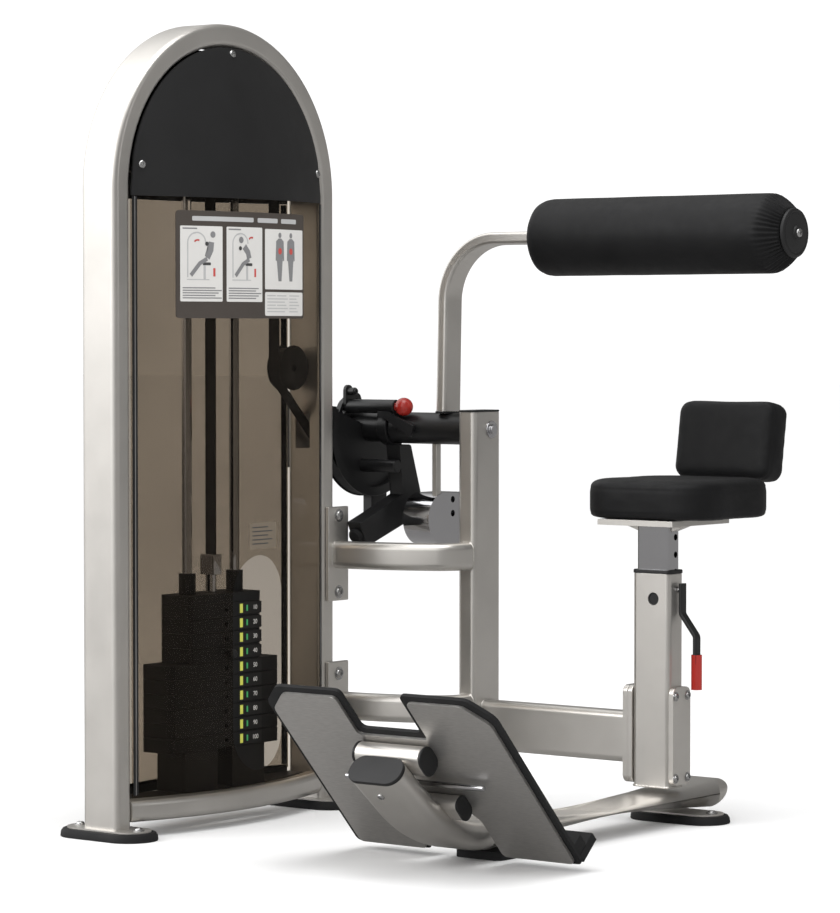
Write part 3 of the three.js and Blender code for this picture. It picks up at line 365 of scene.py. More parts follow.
class Route:
    """A flat route of runs and bends. square is the direction square to the route's plane."""

    def __init__(self, start, heading, square):
        self.square = Vector(square).normalized()
        self.points = [Vector(start)]
        self.tangents = [Vector(heading).normalized()]

    def run(self, length):
        tangent = self.tangents[-1]
        self.points.append(self.points[-1] + tangent * length)
        self.tangents.append(tangent.copy())
        return self

    def bend(self, radius, degrees, steps):
        turn = math.radians(degrees)
        origin = self.points[-1].copy()
        heading = self.tangents[-1].copy()
        inward = self.square.cross(heading) * math.copysign(1, turn)
        centre = origin + inward * radius
        for i in range(1, steps + 1):
            spin = Matrix.Rotation(turn * i / steps, 3, self.square)
            self.points.append(centre + spin @ (origin - centre))
            self.tangents.append(spin @ heading)
        return self

    def ring(self, index, section, shrink=0.0):
        """The section's points at one place; shrink draws it in by that many millimetres."""
        tangent = self.tangents[index]
        across = tangent.cross(self.square)
        centre = self.points[index]
        ring = []
        for x, y in section:
            size = math.hypot(x, y)
            scale = max(0.0, 1 - shrink / size)
            ring.append(centre + self.square * x * scale + across * y * scale)
        return ring

    def sweep(self, section, soft_ends=1.2):
        """Rings of the section along the route, with slightly rounded ends."""
        last = len(self.points) - 1
        rings = [self.ring(i, section) for i in range(last + 1)]
        if soft_ends:
            head = [p + self.tangents[0] * soft_ends for p in rings[0]]
            tail = [p - self.tangents[last] * soft_ends for p in rings[-1]]
            rings = [self.ring(0, section, soft_ends), head] + rings[1:-1]
            rings += [tail, self.ring(last, section, soft_ends)]
        return rings


def tube(name, route, section, finish="silver_paint", body="frame"):
    return finish_mesh(name, rings_to_bmesh(route.sweep(section)), finish, body)


def turned(name, profile, axis, centre, finish, body="frame", segments=48):
    """A closed profile of (radius, distance along the axis) points, turned about the axis through centre."""
    axis = Vector(axis).normalized()
    side = axis.orthogonal().normalized()
    other = axis.cross(side)
    centre = Vector(centre)
    bm = bmesh.new()
    rows = []
    for radius, along in profile:
        if radius < 1e-6:
            rows.append([bm.verts.new(centre + axis * along)])
            continue
        row = []
        for i in range(segments):
            a = 2 * math.pi * i / segments
            outward = side * math.cos(a) + other * math.sin(a)
            row.append(bm.verts.new(centre + axis * along + outward * radius))
        rows.append(row)
    pairs = list(zip(rows, rows[1:]))
    if profile[0][0] > 1e-6 and profile[-1][0] > 1e-6:
        pairs.append((rows[-1], rows[0]))
    for one, two in pairs:
        for i in range(segments):
            j = (i + 1) % segments
            corners = [one[i % len(one)], one[j % len(one)], two[j % len(two)], two[i % len(two)]]
            bm.faces.new(list(dict.fromkeys(corners)))
    return finish_mesh(name, bm, finish, body)


def rounded_block(name, low, high, radius, finish="silver_paint", body="frame", segments=3):
    """A box with round edges."""
    bm = box_mesh(low, high)
    bmesh.ops.bevel(bm, geom=list(bm.edges), offset=radius, segments=segments, profile=0.5, affect="EDGES")
    return finish_mesh(name, bm, finish, body)


def slab(name, outline, frame_axes, thickness, radius, finish="silver_paint", body="frame"):
    """A flat plate: outline points in a plane (origin, u, v), raised along u x v, with rounded edges."""
    origin, u, v = (Vector(a) for a in frame_axes)
    normal = u.cross(v).normalized()
    bm = bmesh.new()
    low = [bm.verts.new(origin + u * x + v * y) for x, y in outline]
    high = [bm.verts.new(origin + u * x + v * y + normal * thickness) for x, y in outline]
    bm.faces.new(list(reversed(low)))
    bm.faces.new(high)
    count = len(outline)
    for i in range(count):
        j = (i + 1) % count
        bm.faces.new((low[i], low[j], high[j], high[i]))
    if radius:
        rims = [e for e in bm.edges if abs((e.verts[0].co - e.verts[1].co).dot(normal)) < 1e-6]
        bmesh.ops.bevel(bm, geom=rims, offset=radius, segments=2, profile=0.5, affect="EDGES")
    return finish_mesh(name, bm, finish, body)


def bolt(name, centre, axis, head_r, body="frame", washer_r=0.0, finish="zinc"):
    """A button-head bolt with a hexagon socket, on a flat washer, standing on centre along axis."""
    base = 0.0
    profile = []
    if washer_r:
        base = 1.6
        profile += [(washer_r - 0.4, 0), (washer_r, 0.4), (washer_r, base - 0.3), (washer_r - 0.3, base)]
    head = ((1, 0), (1, 0.35), (0.88, 0.75), (0.62, 1), (0.42, 1), (0.38, 0.45), (0, 0.4))
    profile += [(head_r * wide, base + head_r * 0.55 * high) for wide, high in head]
    return turned(name, [(0, 0)] + profile, axis, centre, finish, body, 24)


def text_piece(name, words, size, centre, finish, body, thick=0.15):
    """Raised figures that face along X, turned into a mesh."""
    curve = bpy.data.curves.new(name, "FONT")
    curve.body = words
    curve.size = size
    curve.extrude = thick
    curve.align_x = "CENTER"
    curve.align_y = "CENTER"
    temp = bpy.data.objects.new(name + "_curve", curve)
    bpy.context.scene.collection.objects.link(temp)
    mesh = bpy.data.meshes.new_from_object(temp)
    bpy.data.objects.remove(temp)
    bm = bmesh.new()
    bm.from_mesh(mesh)
    for v in bm.verts:
        v.co = Vector(centre) + Y * v.co.x + Z * v.co.y + X * v.co.z
    return finish_mesh(name, bm, finish, body)


# ---- Frame tubes ----
def apply_modifiers(obj):
    bpy.context.view_layer.update()
    applied = bpy.data.meshes.new_from_object(obj.evaluated_get(bpy.context.evaluated_depsgraph_get()))
    obj.modifiers.clear()
    obj.data = applied


def cut_away(obj, bm):
    """Takes a closed bmesh in the row frame away from a finished piece."""
    cutter = link_mesh("cutter", bm)
    modifier = obj.modifiers.new("cut", "BOOLEAN")
    modifier.object = cutter
    modifier.operation = "DIFFERENCE"
    modifier.solver = "EXACT"
    apply_modifiers(obj)
    bpy.data.objects.remove(cutter)


def carve(obj, low, high, radius=0.0, axis=None):
    """Cuts a block, or a round bar along axis, out of a finished piece. low and high are its far corners."""
    low, high = at(*low), at(*high)
    if axis is None:
        bm = box_mesh(low, high)
    else:
        bm = bmesh.new()
        span = (high - low).length
        bmesh.ops.create_cone(bm, segments=40, radius1=radius * MM, radius2=radius * MM, depth=span,
                              cap_ends=True)
        turn = Z.rotation_difference(Vector(axis)).to_matrix().to_4x4()
        bmesh.ops.transform(bm, matrix=Matrix.Translation((low + high) / 2) @ turn, verts=bm.verts)
    cut_away(obj, bm)


def make_arch():
    route = Route((0, -LEG_Y, LEG_FOOT_Z), Z, X)
    route.run(SPRING_Z - LEG_FOOT_Z).bend(LEG_Y, -180, 96).run(SPRING_Z - LEG_FOOT_Z)
    arch = tube("arch_tube", route, round_rect(TUBE_W, TUBE_T, 14, 6))
    carve(arch, (-25, 300, 815), (17, 380, 891))
    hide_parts("tower_arch")


def trim_ends(bm, limit):
    """Cuts a bmesh off square at Y = -limit and Y = +limit."""
    for sign in (-1, 1):
        geom = list(bm.verts) + list(bm.edges) + list(bm.faces)
        cut = bmesh.ops.bisect_plane(bm, geom=geom, plane_co=(0, sign * limit, 0), plane_no=(0, sign, 0),
                                     clear_outer=True)
        rim = [e for e in cut["geom_cut"] if isinstance(e, bmesh.types.BMEdge)]
        bmesh.ops.holes_fill(bm, edges=rim)


def make_base_rail():
    chord = INNER_Y - GAP
    radius = (chord ** 2 + SHROUD_BOW ** 2) / (2 * SHROUD_BOW)
    half = math.degrees(math.asin(chord / radius))
    heading = Matrix.Rotation(-math.radians(half), 3, "Z") @ Y
    route = Route((24, -chord, 57), heading, Z).bend(radius, 2 * half, 40)
    bm = rings_to_bmesh(route.sweep(round_rect(48, 48, 15, 6), 0))
    trim_ends(bm, chord)
    rail = finish_mesh("base_rail", bm)
    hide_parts("tower_base_rail")


def make_side_beams():
    start_x = TUBE_W / 2 + GAP + 9
    tight = 68
    long = 2 * (POST_X - start_x) - tight
    section = round_rect(62, 46, 16, 6)
    beams = (("upper", 573, 468, 682, (662, 488)), ("lower", 230, 150, 330, (302, 170)))
    for name, z, low, high, bolts in beams:
        route = Route((start_x, 0, z), X, Z).bend(long, 30, 14).bend(tight, 60, 16).run(6)
        shift = BEAM_Y - 50 - GAP - route.points[-1].y
        route.points = [p + Y * shift for p in route.points]
        beam = tube(f"side_beam_{name}_tube", route, section)
        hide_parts(f"side_beam_{name}")
        inner = TUBE_W / 2 + GAP
        outer = inner + 10
        rounded_block(f"leg_bracket_{name}", (inner, shift - 36, low), (outer, shift + 36, high), 2.5)
        for i, bolt_z in enumerate(bolts):
            bolt(f"leg_bolt_{name}_{i}", (outer, shift, bolt_z), X, 11, "frame", 15)
        weld(f"weld_side_beam_{name}", route.ring(0, section), X)
        weld(f"weld_side_post_{name}", route.ring(-1, section), Y)


def weld(name, ring, normal, body="frame", size=2.2, finish="silver_paint"):
    """A rippled bead of weld along a closed ring of points, painted over with the frame."""
    points = []
    count = len(ring)
    for i in range(count):
        here, there = Vector(ring[i]), Vector(ring[(i + 1) % count])
        steps = max(1, int((there - here).length / 2.2))
        points += [here.lerp(there, k / steps) for k in range(steps)]
    normal = Vector(normal).normalized()
    centre = sum(points, Vector()) / len(points)
    rings = []
    for i, point in enumerate(points):
        out = point - centre
        out -= normal * out.dot(normal)
        out.normalize()
        radius = size * (1 + 0.16 * math.sin(i * 1.6) + 0.08 * noise.noise(point * 0.2))
        angles = [2 * math.pi * k / 6 for k in range(6)]
        rings.append([point + (out * math.cos(a) + normal * math.sin(a)) * radius for a in angles])
    bm = rings_to_bmesh(rings, caps=False, closed=True)
    return finish_mesh(name, bm, finish, body, 80)


def make_posts():
    low, high = 134, 898
    route = Route((POST_X, BEAM_Y, low), Z, X).run(high - low)
    post = tube("pivot_post_tube", route, round_rect(50, 100, 13, 6))
    carve(post, (POST_X - 60, PIVOT_Y, PIVOT_Z), (POST_X + 60, PIVOT_Y, PIVOT_Z), 15.3, X)
    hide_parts("pivot_post")
    cap = Route((POST_X, BEAM_Y, high + GAP), Z, X).run(4)
    tube("pivot_post_cap", cap, round_rect(51, 101, 13, 6), "black_plastic")
    start = POST_X + 25 + GAP
    beam = Route((start, BEAM_Y, 190), X, Y).run(SEAT_POST_X[0] - 2 * CLAMP_T - GAP - start)
    section = round_rect(50, 112, 14, 6)
    main = tube("main_beam_tube", beam, section)
    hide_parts("main_beam")
    weld("weld_main_post", beam.ring(0, section), X)
    weld("weld_main_flange", beam.ring(1, section), X)


def make_clamps():
    """Two plates between the main beam and the seat post, and a cover plate on the post's far side."""
    left, right = SEAT_POST_X
    places = (("beam", left - 2 * CLAMP_T - GAP), ("post", left - CLAMP_T), ("cover", right + GAP))
    for name, x in places:
        plate_at = (x, BEAM_Y + 4, 199)
        plate = slab(f"clamp_{name}", round_rect(68, 214, 15, 6), (plate_at, Y, Z), CLAMP_T, 1.6)
        if name == "cover":
            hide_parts("post_clamp_plate")
    for i, z in enumerate((287, 108)):
        for j, y in enumerate((BEAM_Y + 26, BEAM_Y - 20)):
            bolt(f"clamp_bolt_{i}_{j}", (right + CLAMP_T + GAP, y, z), X, 7.5, "frame", 10.5)


def make_seat_post():
    mid, y = SEAT_POST_MID_X, BEAM_Y
    outer = round_rect(96, 58, 11, 6)
    inner = round_rect(85.2, 41.2, 6, 6)
    levels = [(87.3, outer, 0), (552, outer, 0), (553, outer, 1.2), (553, inner, 0), (240, inner, 0)]
    rings = []
    for z, section, shrink in levels:
        scale = 1 - shrink / 60
        rings.append(level_ring(mid, y, z, [(a * scale, b * scale) for a, b in section]))
    post = finish_mesh("seat_post_tube", rings_to_bmesh(rings))
    carve(post, (mid + 7, y - 40, 498), (mid + 7, y, 498), 14, Y)
    carve(post, (mid + 30, y + 6, 518), (mid + 60, y + 6, 518), 6.7, X)
    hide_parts("seat_post_outer")
    rings = []
    for z, grow in ((553.3, 0), (553.3, 3), (559, 3), (561, 1.5), (561, 0)):
        section = inner if grow == 0 else round_rect(96 + grow, 58 + grow, 12, 6)
        rings.append(level_ring(mid, y, z, section))
    finish_mesh("seat_post_collar", rings_to_bmesh(rings, caps=False, closed=True), "black_plastic")
    # A black disc just inside the adjust hole: painted shade of the hole's inside.
    turned("seat_post_plug", [(0, 0), (13.7, 0), (13.7, 1), (0, 1)], Y, (mid + 7, y - 25.6, 498),
           "black_plastic", "frame", 40)
    weld("weld_seat_post", level_ring(mid, y, 87.5, outer), Z, "frame", 2.6)


def make_base_tube():
    route = Route((SEAT_X, 700, 56), -Y, X).run(700 + 118).bend(350, -40, 28).run(112)
    section = round_rect(130, 62, 30, 9)
    rings = route.sweep(section)
    # The rear end closes like a stern: its underside sweeps up to a rounded lip
    nose = []
    for k in range(1, 11):
        a = math.pi / 2 * k / 10
        y = 700 + 58 * math.sin(a)
        low = 25 + 40 * (1 - math.cos(a))
        high = 87 - 10 * (1 - math.cos(a)) ** 2
        width = 1 - 0.3 * (1 - math.cos(a)) ** 1.5
        middle, deep = (low + high) / 2, (high - low) / 62
        nose.append([Vector((SEAT_X + px * width, y, middle - py * deep)) for px, py in section])
    tube_mesh = rings_to_bmesh(list(reversed(nose)) + rings[2:])
    base = finish_mesh("base_tube_shell", tube_mesh, "silver_paint", "frame", 50)
    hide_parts("base_tube")
    end = route.points[-1]
    heading = route.tangents[-1]
    cap = Route(end + heading * GAP, heading, X).run(9)
    tube("base_tube_cap", cap, round_rect(131, 63, 30, 9), "black_plastic")
    up = heading.cross(X)
    bolt("base_cap_screw", end - heading * 40 - up * 31, -up, 8)


def plate_frame():
    """Origin and directions of the leaning foot plate: across it, up it, and out of its back."""
    up = Vector((0, -math.sin(PLATE_LEAN), math.cos(PLATE_LEAN)))
    return PLATE_FOOT.copy(), X.copy(), up, X.cross(up)


def plate_outline(inset, low, corner=10):
    half = 287 - inset
    top = 480 - inset
    notch, notch_low = 75 + inset, 371 - inset
    slot, slot_top = 90 + inset * 0.5, 150 + inset * 0.5
    right = [(slot - 30, slot_top), (slot, slot_top - 40), (slot, low), (half, low), (half, top - 48),
             (half - 48, top), (notch, top), (notch, notch_low)]
    return soften(right + [(-x, z) for x, z in reversed(right)], corner)


def soften(points, radius, steps=4):
    """Rounds every corner of a closed outline."""
    rounded = []
    count = len(points)
    for i in range(count):
        before, here, after = (Vector(points[(i + k) % count]) for k in (-1, 0, 1))
        reach = min(radius, (before - here).length * 0.45, (after - here).length * 0.45)
        start = here + (before - here).normalized() * reach
        end = here + (after - here).normalized() * reach
        for k in range(steps + 1):
            t = k / steps
            rounded.append(tuple(start * (1 - t) ** 2 + here * 2 * t * (1 - t) + end * t ** 2))
    return rounded


def rib_reach(along):
    """How near to the middle and how far out a tread rib runs, at a height up the plate."""
    if along > 345:
        return 92, (232 if along < 430 else 215)
    near = 97 if along < 200 else 85
    return near, near + 178


def make_foot_plate():
    foot, across, up, back = plate_frame()
    sheet_at = (foot - back * 6, across, up)
    steel = slab("foot_plate_sheet", plate_outline(14, 6, 12), sheet_at, 6, 1.0, "plate_steel")
    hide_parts("foot_plate")
    mat_at = (foot - back * 14, across, up)
    mat = slab("foot_mat_sheet", plate_outline(0, 0, 14), mat_at, 7.7, 2.4, "rubber")
    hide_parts("foot_mat")
    for side, letter in SIDES:
        inner, outer = sorted((side * 90, side * 287))
        for name, low, high, depth in (("heel", 0, 22, 58), ("step", 22, 52, 28)):
            corners = [(inner, low), (outer, low), (outer, high), (inner, high)]
            face = (foot - back * (13.5 + depth), across, up)
            slab(f"mat_{name}_{letter}", soften(corners, 3), face, depth, 3, "rubber")
        face = (foot - back * 16.2, across, up)
        for k in range(14):
            low = 70 + k * 28
            near, far = rib_reach(low)
            left, right = sorted((side * near, side * far))
            corners = [(left, low), (right, low), (right, low + 8), (left, low + 8)]
            slab(f"mat_rib_{letter}_{k}", soften(corners, 3), face, 2.4, 0.8, "rubber")


def make_cross_tubes():
    foot, _, up, back = plate_frame()
    for name, along, half, wide, thick in (("upper", 322, 80, 62, 48), ("lower", 176, 90, 56, 36)):
        centre = foot + up * along + back * (GAP + thick / 2)
        route = Route(centre - X * half, X, up).run(2 * half)
        corner = thick / 2 - 1
        tube(f"cross_tube_{name}", route, round_rect(wide, thick, corner, 8))
        for side, letter in SIDES:
            end = Route(centre + X * side * (half + GAP), X * side, up).run(6)
            cap = round_rect(wide + 1, thick + 1, corner, 8)
            tube(f"cross_cap_{name}_{letter}", end, cap, "black_plastic")
    pin = foot + up * 240 + back * 14
    profile = [(0, -175), (4.5, -175), (6, -173), (6, 173), (4.5, 175), (0, 175)]
    turned("plate_rod", profile, X, pin, "chrome", "frame", 20)


def make_feet():
    pads = (("tower_foot_front", 0, -LEG_Y + 6), ("tower_foot_rear", 0, LEG_Y - 6),
            ("rear_foot", SEAT_X + 5, 640))
    for name, x, y in pads:
        levels = [(0, 118, 238), (2, 120, 240), (11, 118, 238), (17, 110, 230), (18, 104, 224)]
        rings = []
        for z, wide, long in levels:
            outline = round_rect(wide, long, wide / 2 - 0.6, 14)
            rings.append(level_ring(x, y, z, [(b, a) for a, b in outline]))
        pad = finish_mesh(f"{name}_pad", rings_to_bmesh(rings), "rubber")
        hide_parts(name)
        shoe = [(x + a, y + b) for a, b in round_rect(212, 88, 43, 12)]
        slab(f"{name}_shoe", shoe, ((0, 0, 18.2), X, Y), 3.4, 1)
        for i, side in enumerate((-1, 1)):
            bolt(f"{name}_bolt_{i}", (x + side * 84, y, 21.7), Z, 9, "frame", 13)


make_arch()
make_base_rail()
make_side_beams()
make_posts()
make_clamps()
make_seat_post()
make_base_tube()
make_foot_plate()
make_cross_tubes()
make_feet()


# ---- Shrouds and placard ----
def bow_x(y, z, base=TUBE_W / 2):
    """How far out the tower's front face stands at a height and a place across it."""
    over = max(0.0, z - SPRING_Z)
    return base + SHROUD_BOW * (1 - (y * y + over * over) / INNER_Y ** 2)


def bowed_sheet(name, side, outline_rows, thickness, finish):
    """A bowed sheet from rows of (y, z) points with the same count in each."""
    bm = bmesh.new()
    grids = []
    for depth in (0, -thickness):
        grid = [[bm.verts.new((side * (bow_x(y, z) + depth), y, z)) for y, z in row] for row in outline_rows]
        grids.append(grid)
    rows, cols = len(outline_rows), len(outline_rows[0])
    for grid in grids:
        for i in range(rows - 1):
            for j in range(cols - 1):
                bm.faces.new((grid[i][j], grid[i][j + 1], grid[i + 1][j + 1], grid[i + 1][j]))
    outer, inner = grids
    border = [(0, j) for j in range(cols)] + [(i, cols - 1) for i in range(1, rows)]
    border += [(rows - 1, j) for j in range(cols - 2, -1, -1)] + [(i, 0) for i in range(rows - 2, 0, -1)]
    for (i, j), (k, m) in zip(border, border[1:] + border[:1]):
        corners = [outer[i][j], outer[k][m], inner[k][m], inner[i][j]]
        if (outer[i][j].co - outer[k][m].co).length > 1e-6:
            bm.faces.new(corners)
    bmesh.ops.remove_doubles(bm, verts=bm.verts, dist=0.001)
    return finish_mesh(name, bm, finish)


def make_shrouds():
    half = INNER_Y - 1.5
    columns = 64
    ys = [half * (-1 + 2 * j / columns) for j in range(columns + 1)]
    low_rows = [[(y, z) for y in ys] for z in (86, 300, 700, 1000, SHROUD_SPLIT_Z - GAP)]
    front = bowed_sheet("shroud_front_sheet", 1, low_rows, SHEET_T, "smoked_acrylic")
    # The rear sheet's darker tint is painted shade of the tower's inside.
    rear = bowed_sheet("shroud_rear_sheet", -1, low_rows, SHEET_T, "smoked_back_painted_shade")
    window = round_rect(176, 472, 87.5, 20)
    carve_outline(front, [(y + 32, z + 354) for y, z in window])
    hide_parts("shroud_front")
    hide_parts("shroud_rear")
    rises = [SPRING_Z + math.sqrt(max(0.0, half * half - y * y)) - SHROUD_SPLIT_Z for y in ys]
    top_rows = [[(y, SHROUD_SPLIT_Z + rise * i / 28) for y, rise in zip(ys, rises)] for i in range(29)]
    for side, name in ((1, "front"), (-1, "rear")):
        dome = bowed_sheet(f"shroud_{name}_dome", side, top_rows, SHEET_T, "black_plastic")
        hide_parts(f"shroud_{name}_top")
        for i, (y, z) in enumerate(((7, 1685), (-290, 1434), (299, 1434))):
            slope = Vector((INNER_Y ** 2 / (2 * SHROUD_BOW), y, max(0, z - SPRING_Z))).normalized()
            slope.x *= side
            bolt(f"shroud_screw_{name}_{i}", (side * (bow_x(y, z) - 0.5), y, z), slope, 9)


def make_gaskets():
    """Rubber strips beside the front sheet, with a zinc strip between them as a painted highlight of the
    sheet's edge, and plain rubber round the rear one.
    """
    top = SHROUD_SPLIT_Z - 2
    # The middle zinc strip is a painted highlight: it stands for light on the front sheet's edge.
    strips_and_highlight = ((311, 315.2, "rubber"), (308.6, 310.8, "zinc"), (304.5, 308.4, "rubber"))
    for side, name in ((-1, "left"), (1, "right")):
        for i, (near, far, finish) in enumerate(strips_and_highlight):
            low, high = sorted((side * near, side * far))
            decal(f"gasket_{name}_{i}", block(low, high, 92, top, 0.5), 0.3, finish, 1.6)
        low, high = sorted((side * 304, side * 316.6))
        decal(f"gasket_rear_{name}", block(low, high, 92, top, 0.5), 0.3, "rubber", 2, -1)
    decal("gasket_rear_foot", block(-316.6, 316.6, 66, 91, 0.5), 0.3, "rubber", 2, -1)


def make_sticker():
    """A small tan sheet of notes above the stack window, its lines left as plain strokes."""
    decal("note_sheet", block(-2, 93, 604, 661, 4), 0.3, "tan_print", 0.2)
    for row in range(5):
        z = 650 - row * 9
        decal(f"note_line_{row}", block(6, 62 + 8 * ((row * 2) % 4), z, z + 2.5, 0.5), 0.6, "dark_print")


def carve_outline(obj, outline):
    """Cuts a (Y, Z) outline through a sheet along X."""
    bm = bmesh.new()
    near = [bm.verts.new(at(20, y, z)) for y, z in outline]
    far = [bm.verts.new(at(220, y, z)) for y, z in outline]
    bm.faces.new(near)
    bm.faces.new(list(reversed(far)))
    for i in range(len(outline)):
        j = (i + 1) % len(outline)
        bm.faces.new((near[j], near[i], far[i], far[j]))
    bmesh.ops.recalc_face_normals(bm, faces=bm.faces)
    cut_away(obj, bm)


def decal(name, outline, lift, finish, thick=0.25, side=1):
    """A thin shape on the tower's front, or its back for side -1, from a closed (Y, Z) outline on the bow."""
    bm = bmesh.new()
    face = bm.faces.new([bm.verts.new((0, y, z)) for y, z in outline])
    low = min(y for y, _ in outline)
    high = max(y for y, _ in outline)
    bmesh.ops.triangulate(bm, faces=[face])
    cuts = int((high - low) // 12)
    for k in range(1, cuts + 1):
        geom = list(bm.verts) + list(bm.edges) + list(bm.faces)
        y = low + (high - low) * k / (cuts + 1)
        bmesh.ops.bisect_plane(bm, geom=geom, plane_co=(0, y, 0), plane_no=(0, 1, 0))
    top = bmesh.ops.extrude_face_region(bm, geom=list(bm.faces))
    raised = {v for v in top["geom"] if isinstance(v, bmesh.types.BMVert)}
    for v in bm.verts:
        v.co.x = side * (bow_x(v.co.y, v.co.z) + lift + (thick if v in raised else 0))
    return finish_mesh(name, bm, finish)


def block(y0, y1, z0, z1, corner=2.0):
    return soften([(y0, z0), (y1, z0), (y1, z1), (y0, z1)], corner, 3)


def disc(y, z, radius, steps=20):
    return [(y + radius * math.cos(2 * math.pi * i / steps), z + radius * math.sin(2 * math.pi * i / steps))
            for i in range(steps)]


def limb(points, width):
    """Outline of a thick open line through (y, z) points."""
    left, right = [], []
    for i, point in enumerate(points):
        before = Vector(points[max(0, i - 1)])
        after = Vector(points[min(len(points) - 1, i + 1)])
        along = (after - before).normalized()
        side = Vector((-along.y, along.x)) * width / 2
        left.append(tuple(Vector(point) + side))
        right.append(tuple(Vector(point) - side))
    return left + right[::-1]


PLACARD_LIFT = 0.3
PLACARD_T = 2.0


def make_placard():
    board = decal("placard_board", block(-213, 213, 1108, 1339, 9), PLACARD_LIFT, "label", PLACARD_T)
    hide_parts("placard")
    panels = [block(-203, -88, 1144, 1306, 3), block(-76, 40, 1144, 1306, 3), block(50, 207, 1172, 1304, 3),
              block(50, 207, 1114, 1166, 5)]
    top = PLACARD_LIFT + PLACARD_T
    for i, outline in enumerate(panels):
        decal(f"placard_panel_{i}", outline, top, "white_print")
    ink = top + 0.25
    for i, shift in enumerate((0, 127)):
        draw_exercise(f"sitting_{i}", shift, ink, forward=i == 1)
    for i, y in enumerate((107, 153)):
        draw_standing(f"standing_{i}", y, ink)
    for col, y in enumerate((58, 95, 146)):
        for row in range(6):
            z = 1157 - row * 7
            decal(f"placard_note_{col}_{row}", block(y, y + 32 + 6 * ((row + col) % 3), z, z + 2.4, 0.5), ink,
                  "pale_print")
    for i, y in enumerate((-197, -70)):
        for row in range(5):
            z = 1172 - row * 5.4
            decal(f"placard_line_{i}_{row}", block(y, y + 88 + 9 * ((row * 2 + i) % 3), z, z + 2.4, 0.5), ink,
                  "grey_print")
        decal(f"placard_heading_{i}", block(y, y + 38, 1299, 1302, 0.5), ink, "grey_print")
    for i, (y0, y1) in enumerate(((-172, 10), (24, 98), (112, 176))):
        decal(f"placard_title_{i}", block(y0, y1, 1317, 1327, 3), top, "pale_print")


def draw_exercise(name, shift, ink, forward):
    """A small generic figure on a machine: upright, or folded forward."""
    y = -146 + shift
    arch = [(y - 38 + 24 * (1 - math.cos(math.pi * k / 12)), 1270 + 22 * math.sin(math.pi * k / 12))
            for k in range(13)]
    hip = (y + 14, 1238)
    chest = (y + 26, 1272) if not forward else (y - 2, 1264)
    head = (y + 30, 1288) if not forward else (y - 12, 1278)
    waist = ((hip[0] + chest[0]) / 2 + 4, (hip[1] + chest[1]) / 2)
    arrow = (y - 12, 1268) if not forward else (y + 22, 1276)
    bend = [(arrow[0] + 10 * math.cos(a), arrow[1] + 8 * math.sin(a)) for a in (2.6, 2.1, 1.6, 1.1)]
    parts = (("tower", limb([(y - 38, 1196)] + arch, 3), 0, "pale_print"),
             ("floor", block(y - 40, y + 20, 1190, 1192, 0.4), 0, "pale_print"),
             ("post", block(y + 4, y + 10, 1192, 1222, 0.5), 0, "pale_print"),
             ("seat", block(y + 2, y + 24, 1222, 1228, 1.5), 0.1, "dark_print"),
             ("trunk", limb([hip, waist, chest], 15), 0, "grey_print"),
             ("leg", limb([(y + 14, 1236), (y - 6, 1226), (y - 30, 1200)], 9), 0.3, "grey_print"),
             ("head", disc(*head, 7), 0.3, "grey_print"),
             ("roller", disc(chest[0] - 13, chest[1] - 4, 4.6), 0.6, "dark_print"),
             ("arrow", limb(bend, 3.5), 0.3, "red_print"),
             ("lever", limb([(y + 34, 1198), (y + 34, 1216)], 6), 0, "red_print"))
    for part, outline, lift, finish in parts:
        decal(f"{name}_{part}", outline, ink + lift, finish)


def draw_standing(name, y, ink):
    """A small generic standing figure, with the middle marked."""
    decal(f"{name}_head", disc(y, 1291, 6), ink, "grey_print")
    half = [(5, 1284), (15, 1278), (17, 1236), (12, 1234), (11, 1262), (9, 1236), (6, 1190), (1, 1190)]
    body = half + [(0, 1232)] + [(-across, z) for across, z in reversed(half)]
    decal(f"{name}_body", [(y + across, z) for across, z in body], ink, "grey_print")
    decal(f"{name}_mark", disc(y, 1256, 7), ink + 0.3, "red_print")


def make_stack_labels():
    """Each plate carries a black strip with a yellow mark, a green mark and its number."""
    front = PLATE_FRONT_X
    for i in range(PLATE_COUNT):
        z = STACK_TOP_Z - PLATE_PITCH * (i + 0.5)
        body = "stack" if i < LIFTED_PLATES else "frame"
        marks = (("strip", 0, 0.8, 40, 118, 13, 0.35, "number_strip"),
                 ("yellow", 0.8, 1.3, 44, 54, 10, 0.2, "yellow_print"),
                 ("green", 0.8, 1.3, 66, 71, 6.5, 0.2, "green_print"))
        for name, back, face, left, right, half, radius, finish in marks:
            rounded_block(f"plate_{name}_{i + 1}", (front + back, left, z - half),
                          (front + face, right, z + half), radius, finish, body, 1)
        number_at = (front + 0.95, 96, z)
        text_piece(f"plate_number_{i + 1}", str(10 * (i + 1)), 14, number_at, "white_print", body)


make_shrouds()
make_gaskets()
make_sticker()
make_placard()
make_stack_labels()


# ---- Upholstery ----
VOXEL = 0.005
SETTLE_FRAMES = 20


def pillow(bm, spread_mm, name):
    """Turns a closed bmesh in millimetres into a stuffed, slightly swollen skin, and returns the object."""
    for v in bm.verts:
        v.co = at(*v.co)
    bmesh.ops.recalc_face_normals(bm, faces=bm.faces)
    obj = link_mesh(name, bm)
    remesh = obj.modifiers.new("remesh", "REMESH")
    remesh.mode = "VOXEL"
    remesh.voxel_size = VOXEL
    apply_modifiers(obj)
    before = [v.co.copy() for v in obj.data.vertices]
    cloth = obj.modifiers.new("cloth", "CLOTH")
    cloth.settings.use_pressure = True
    cloth.settings.uniform_pressure_force = 4
    cloth.settings.effector_weights.gravity = 0
    cloth.point_cache.frame_start = 1
    cloth.point_cache.frame_end = SETTLE_FRAMES
    scene = bpy.context.scene
    for number in range(1, SETTLE_FRAMES + 1):
        scene.frame_set(number)
    apply_modifiers(obj)
    scene.frame_set(1)
    limit = spread_mm * MM
    for v, rest in zip(obj.data.vertices, before):
        move = v.co - rest
        if move.length > limit:
            v.co = rest + move.normalized() * limit
    return obj


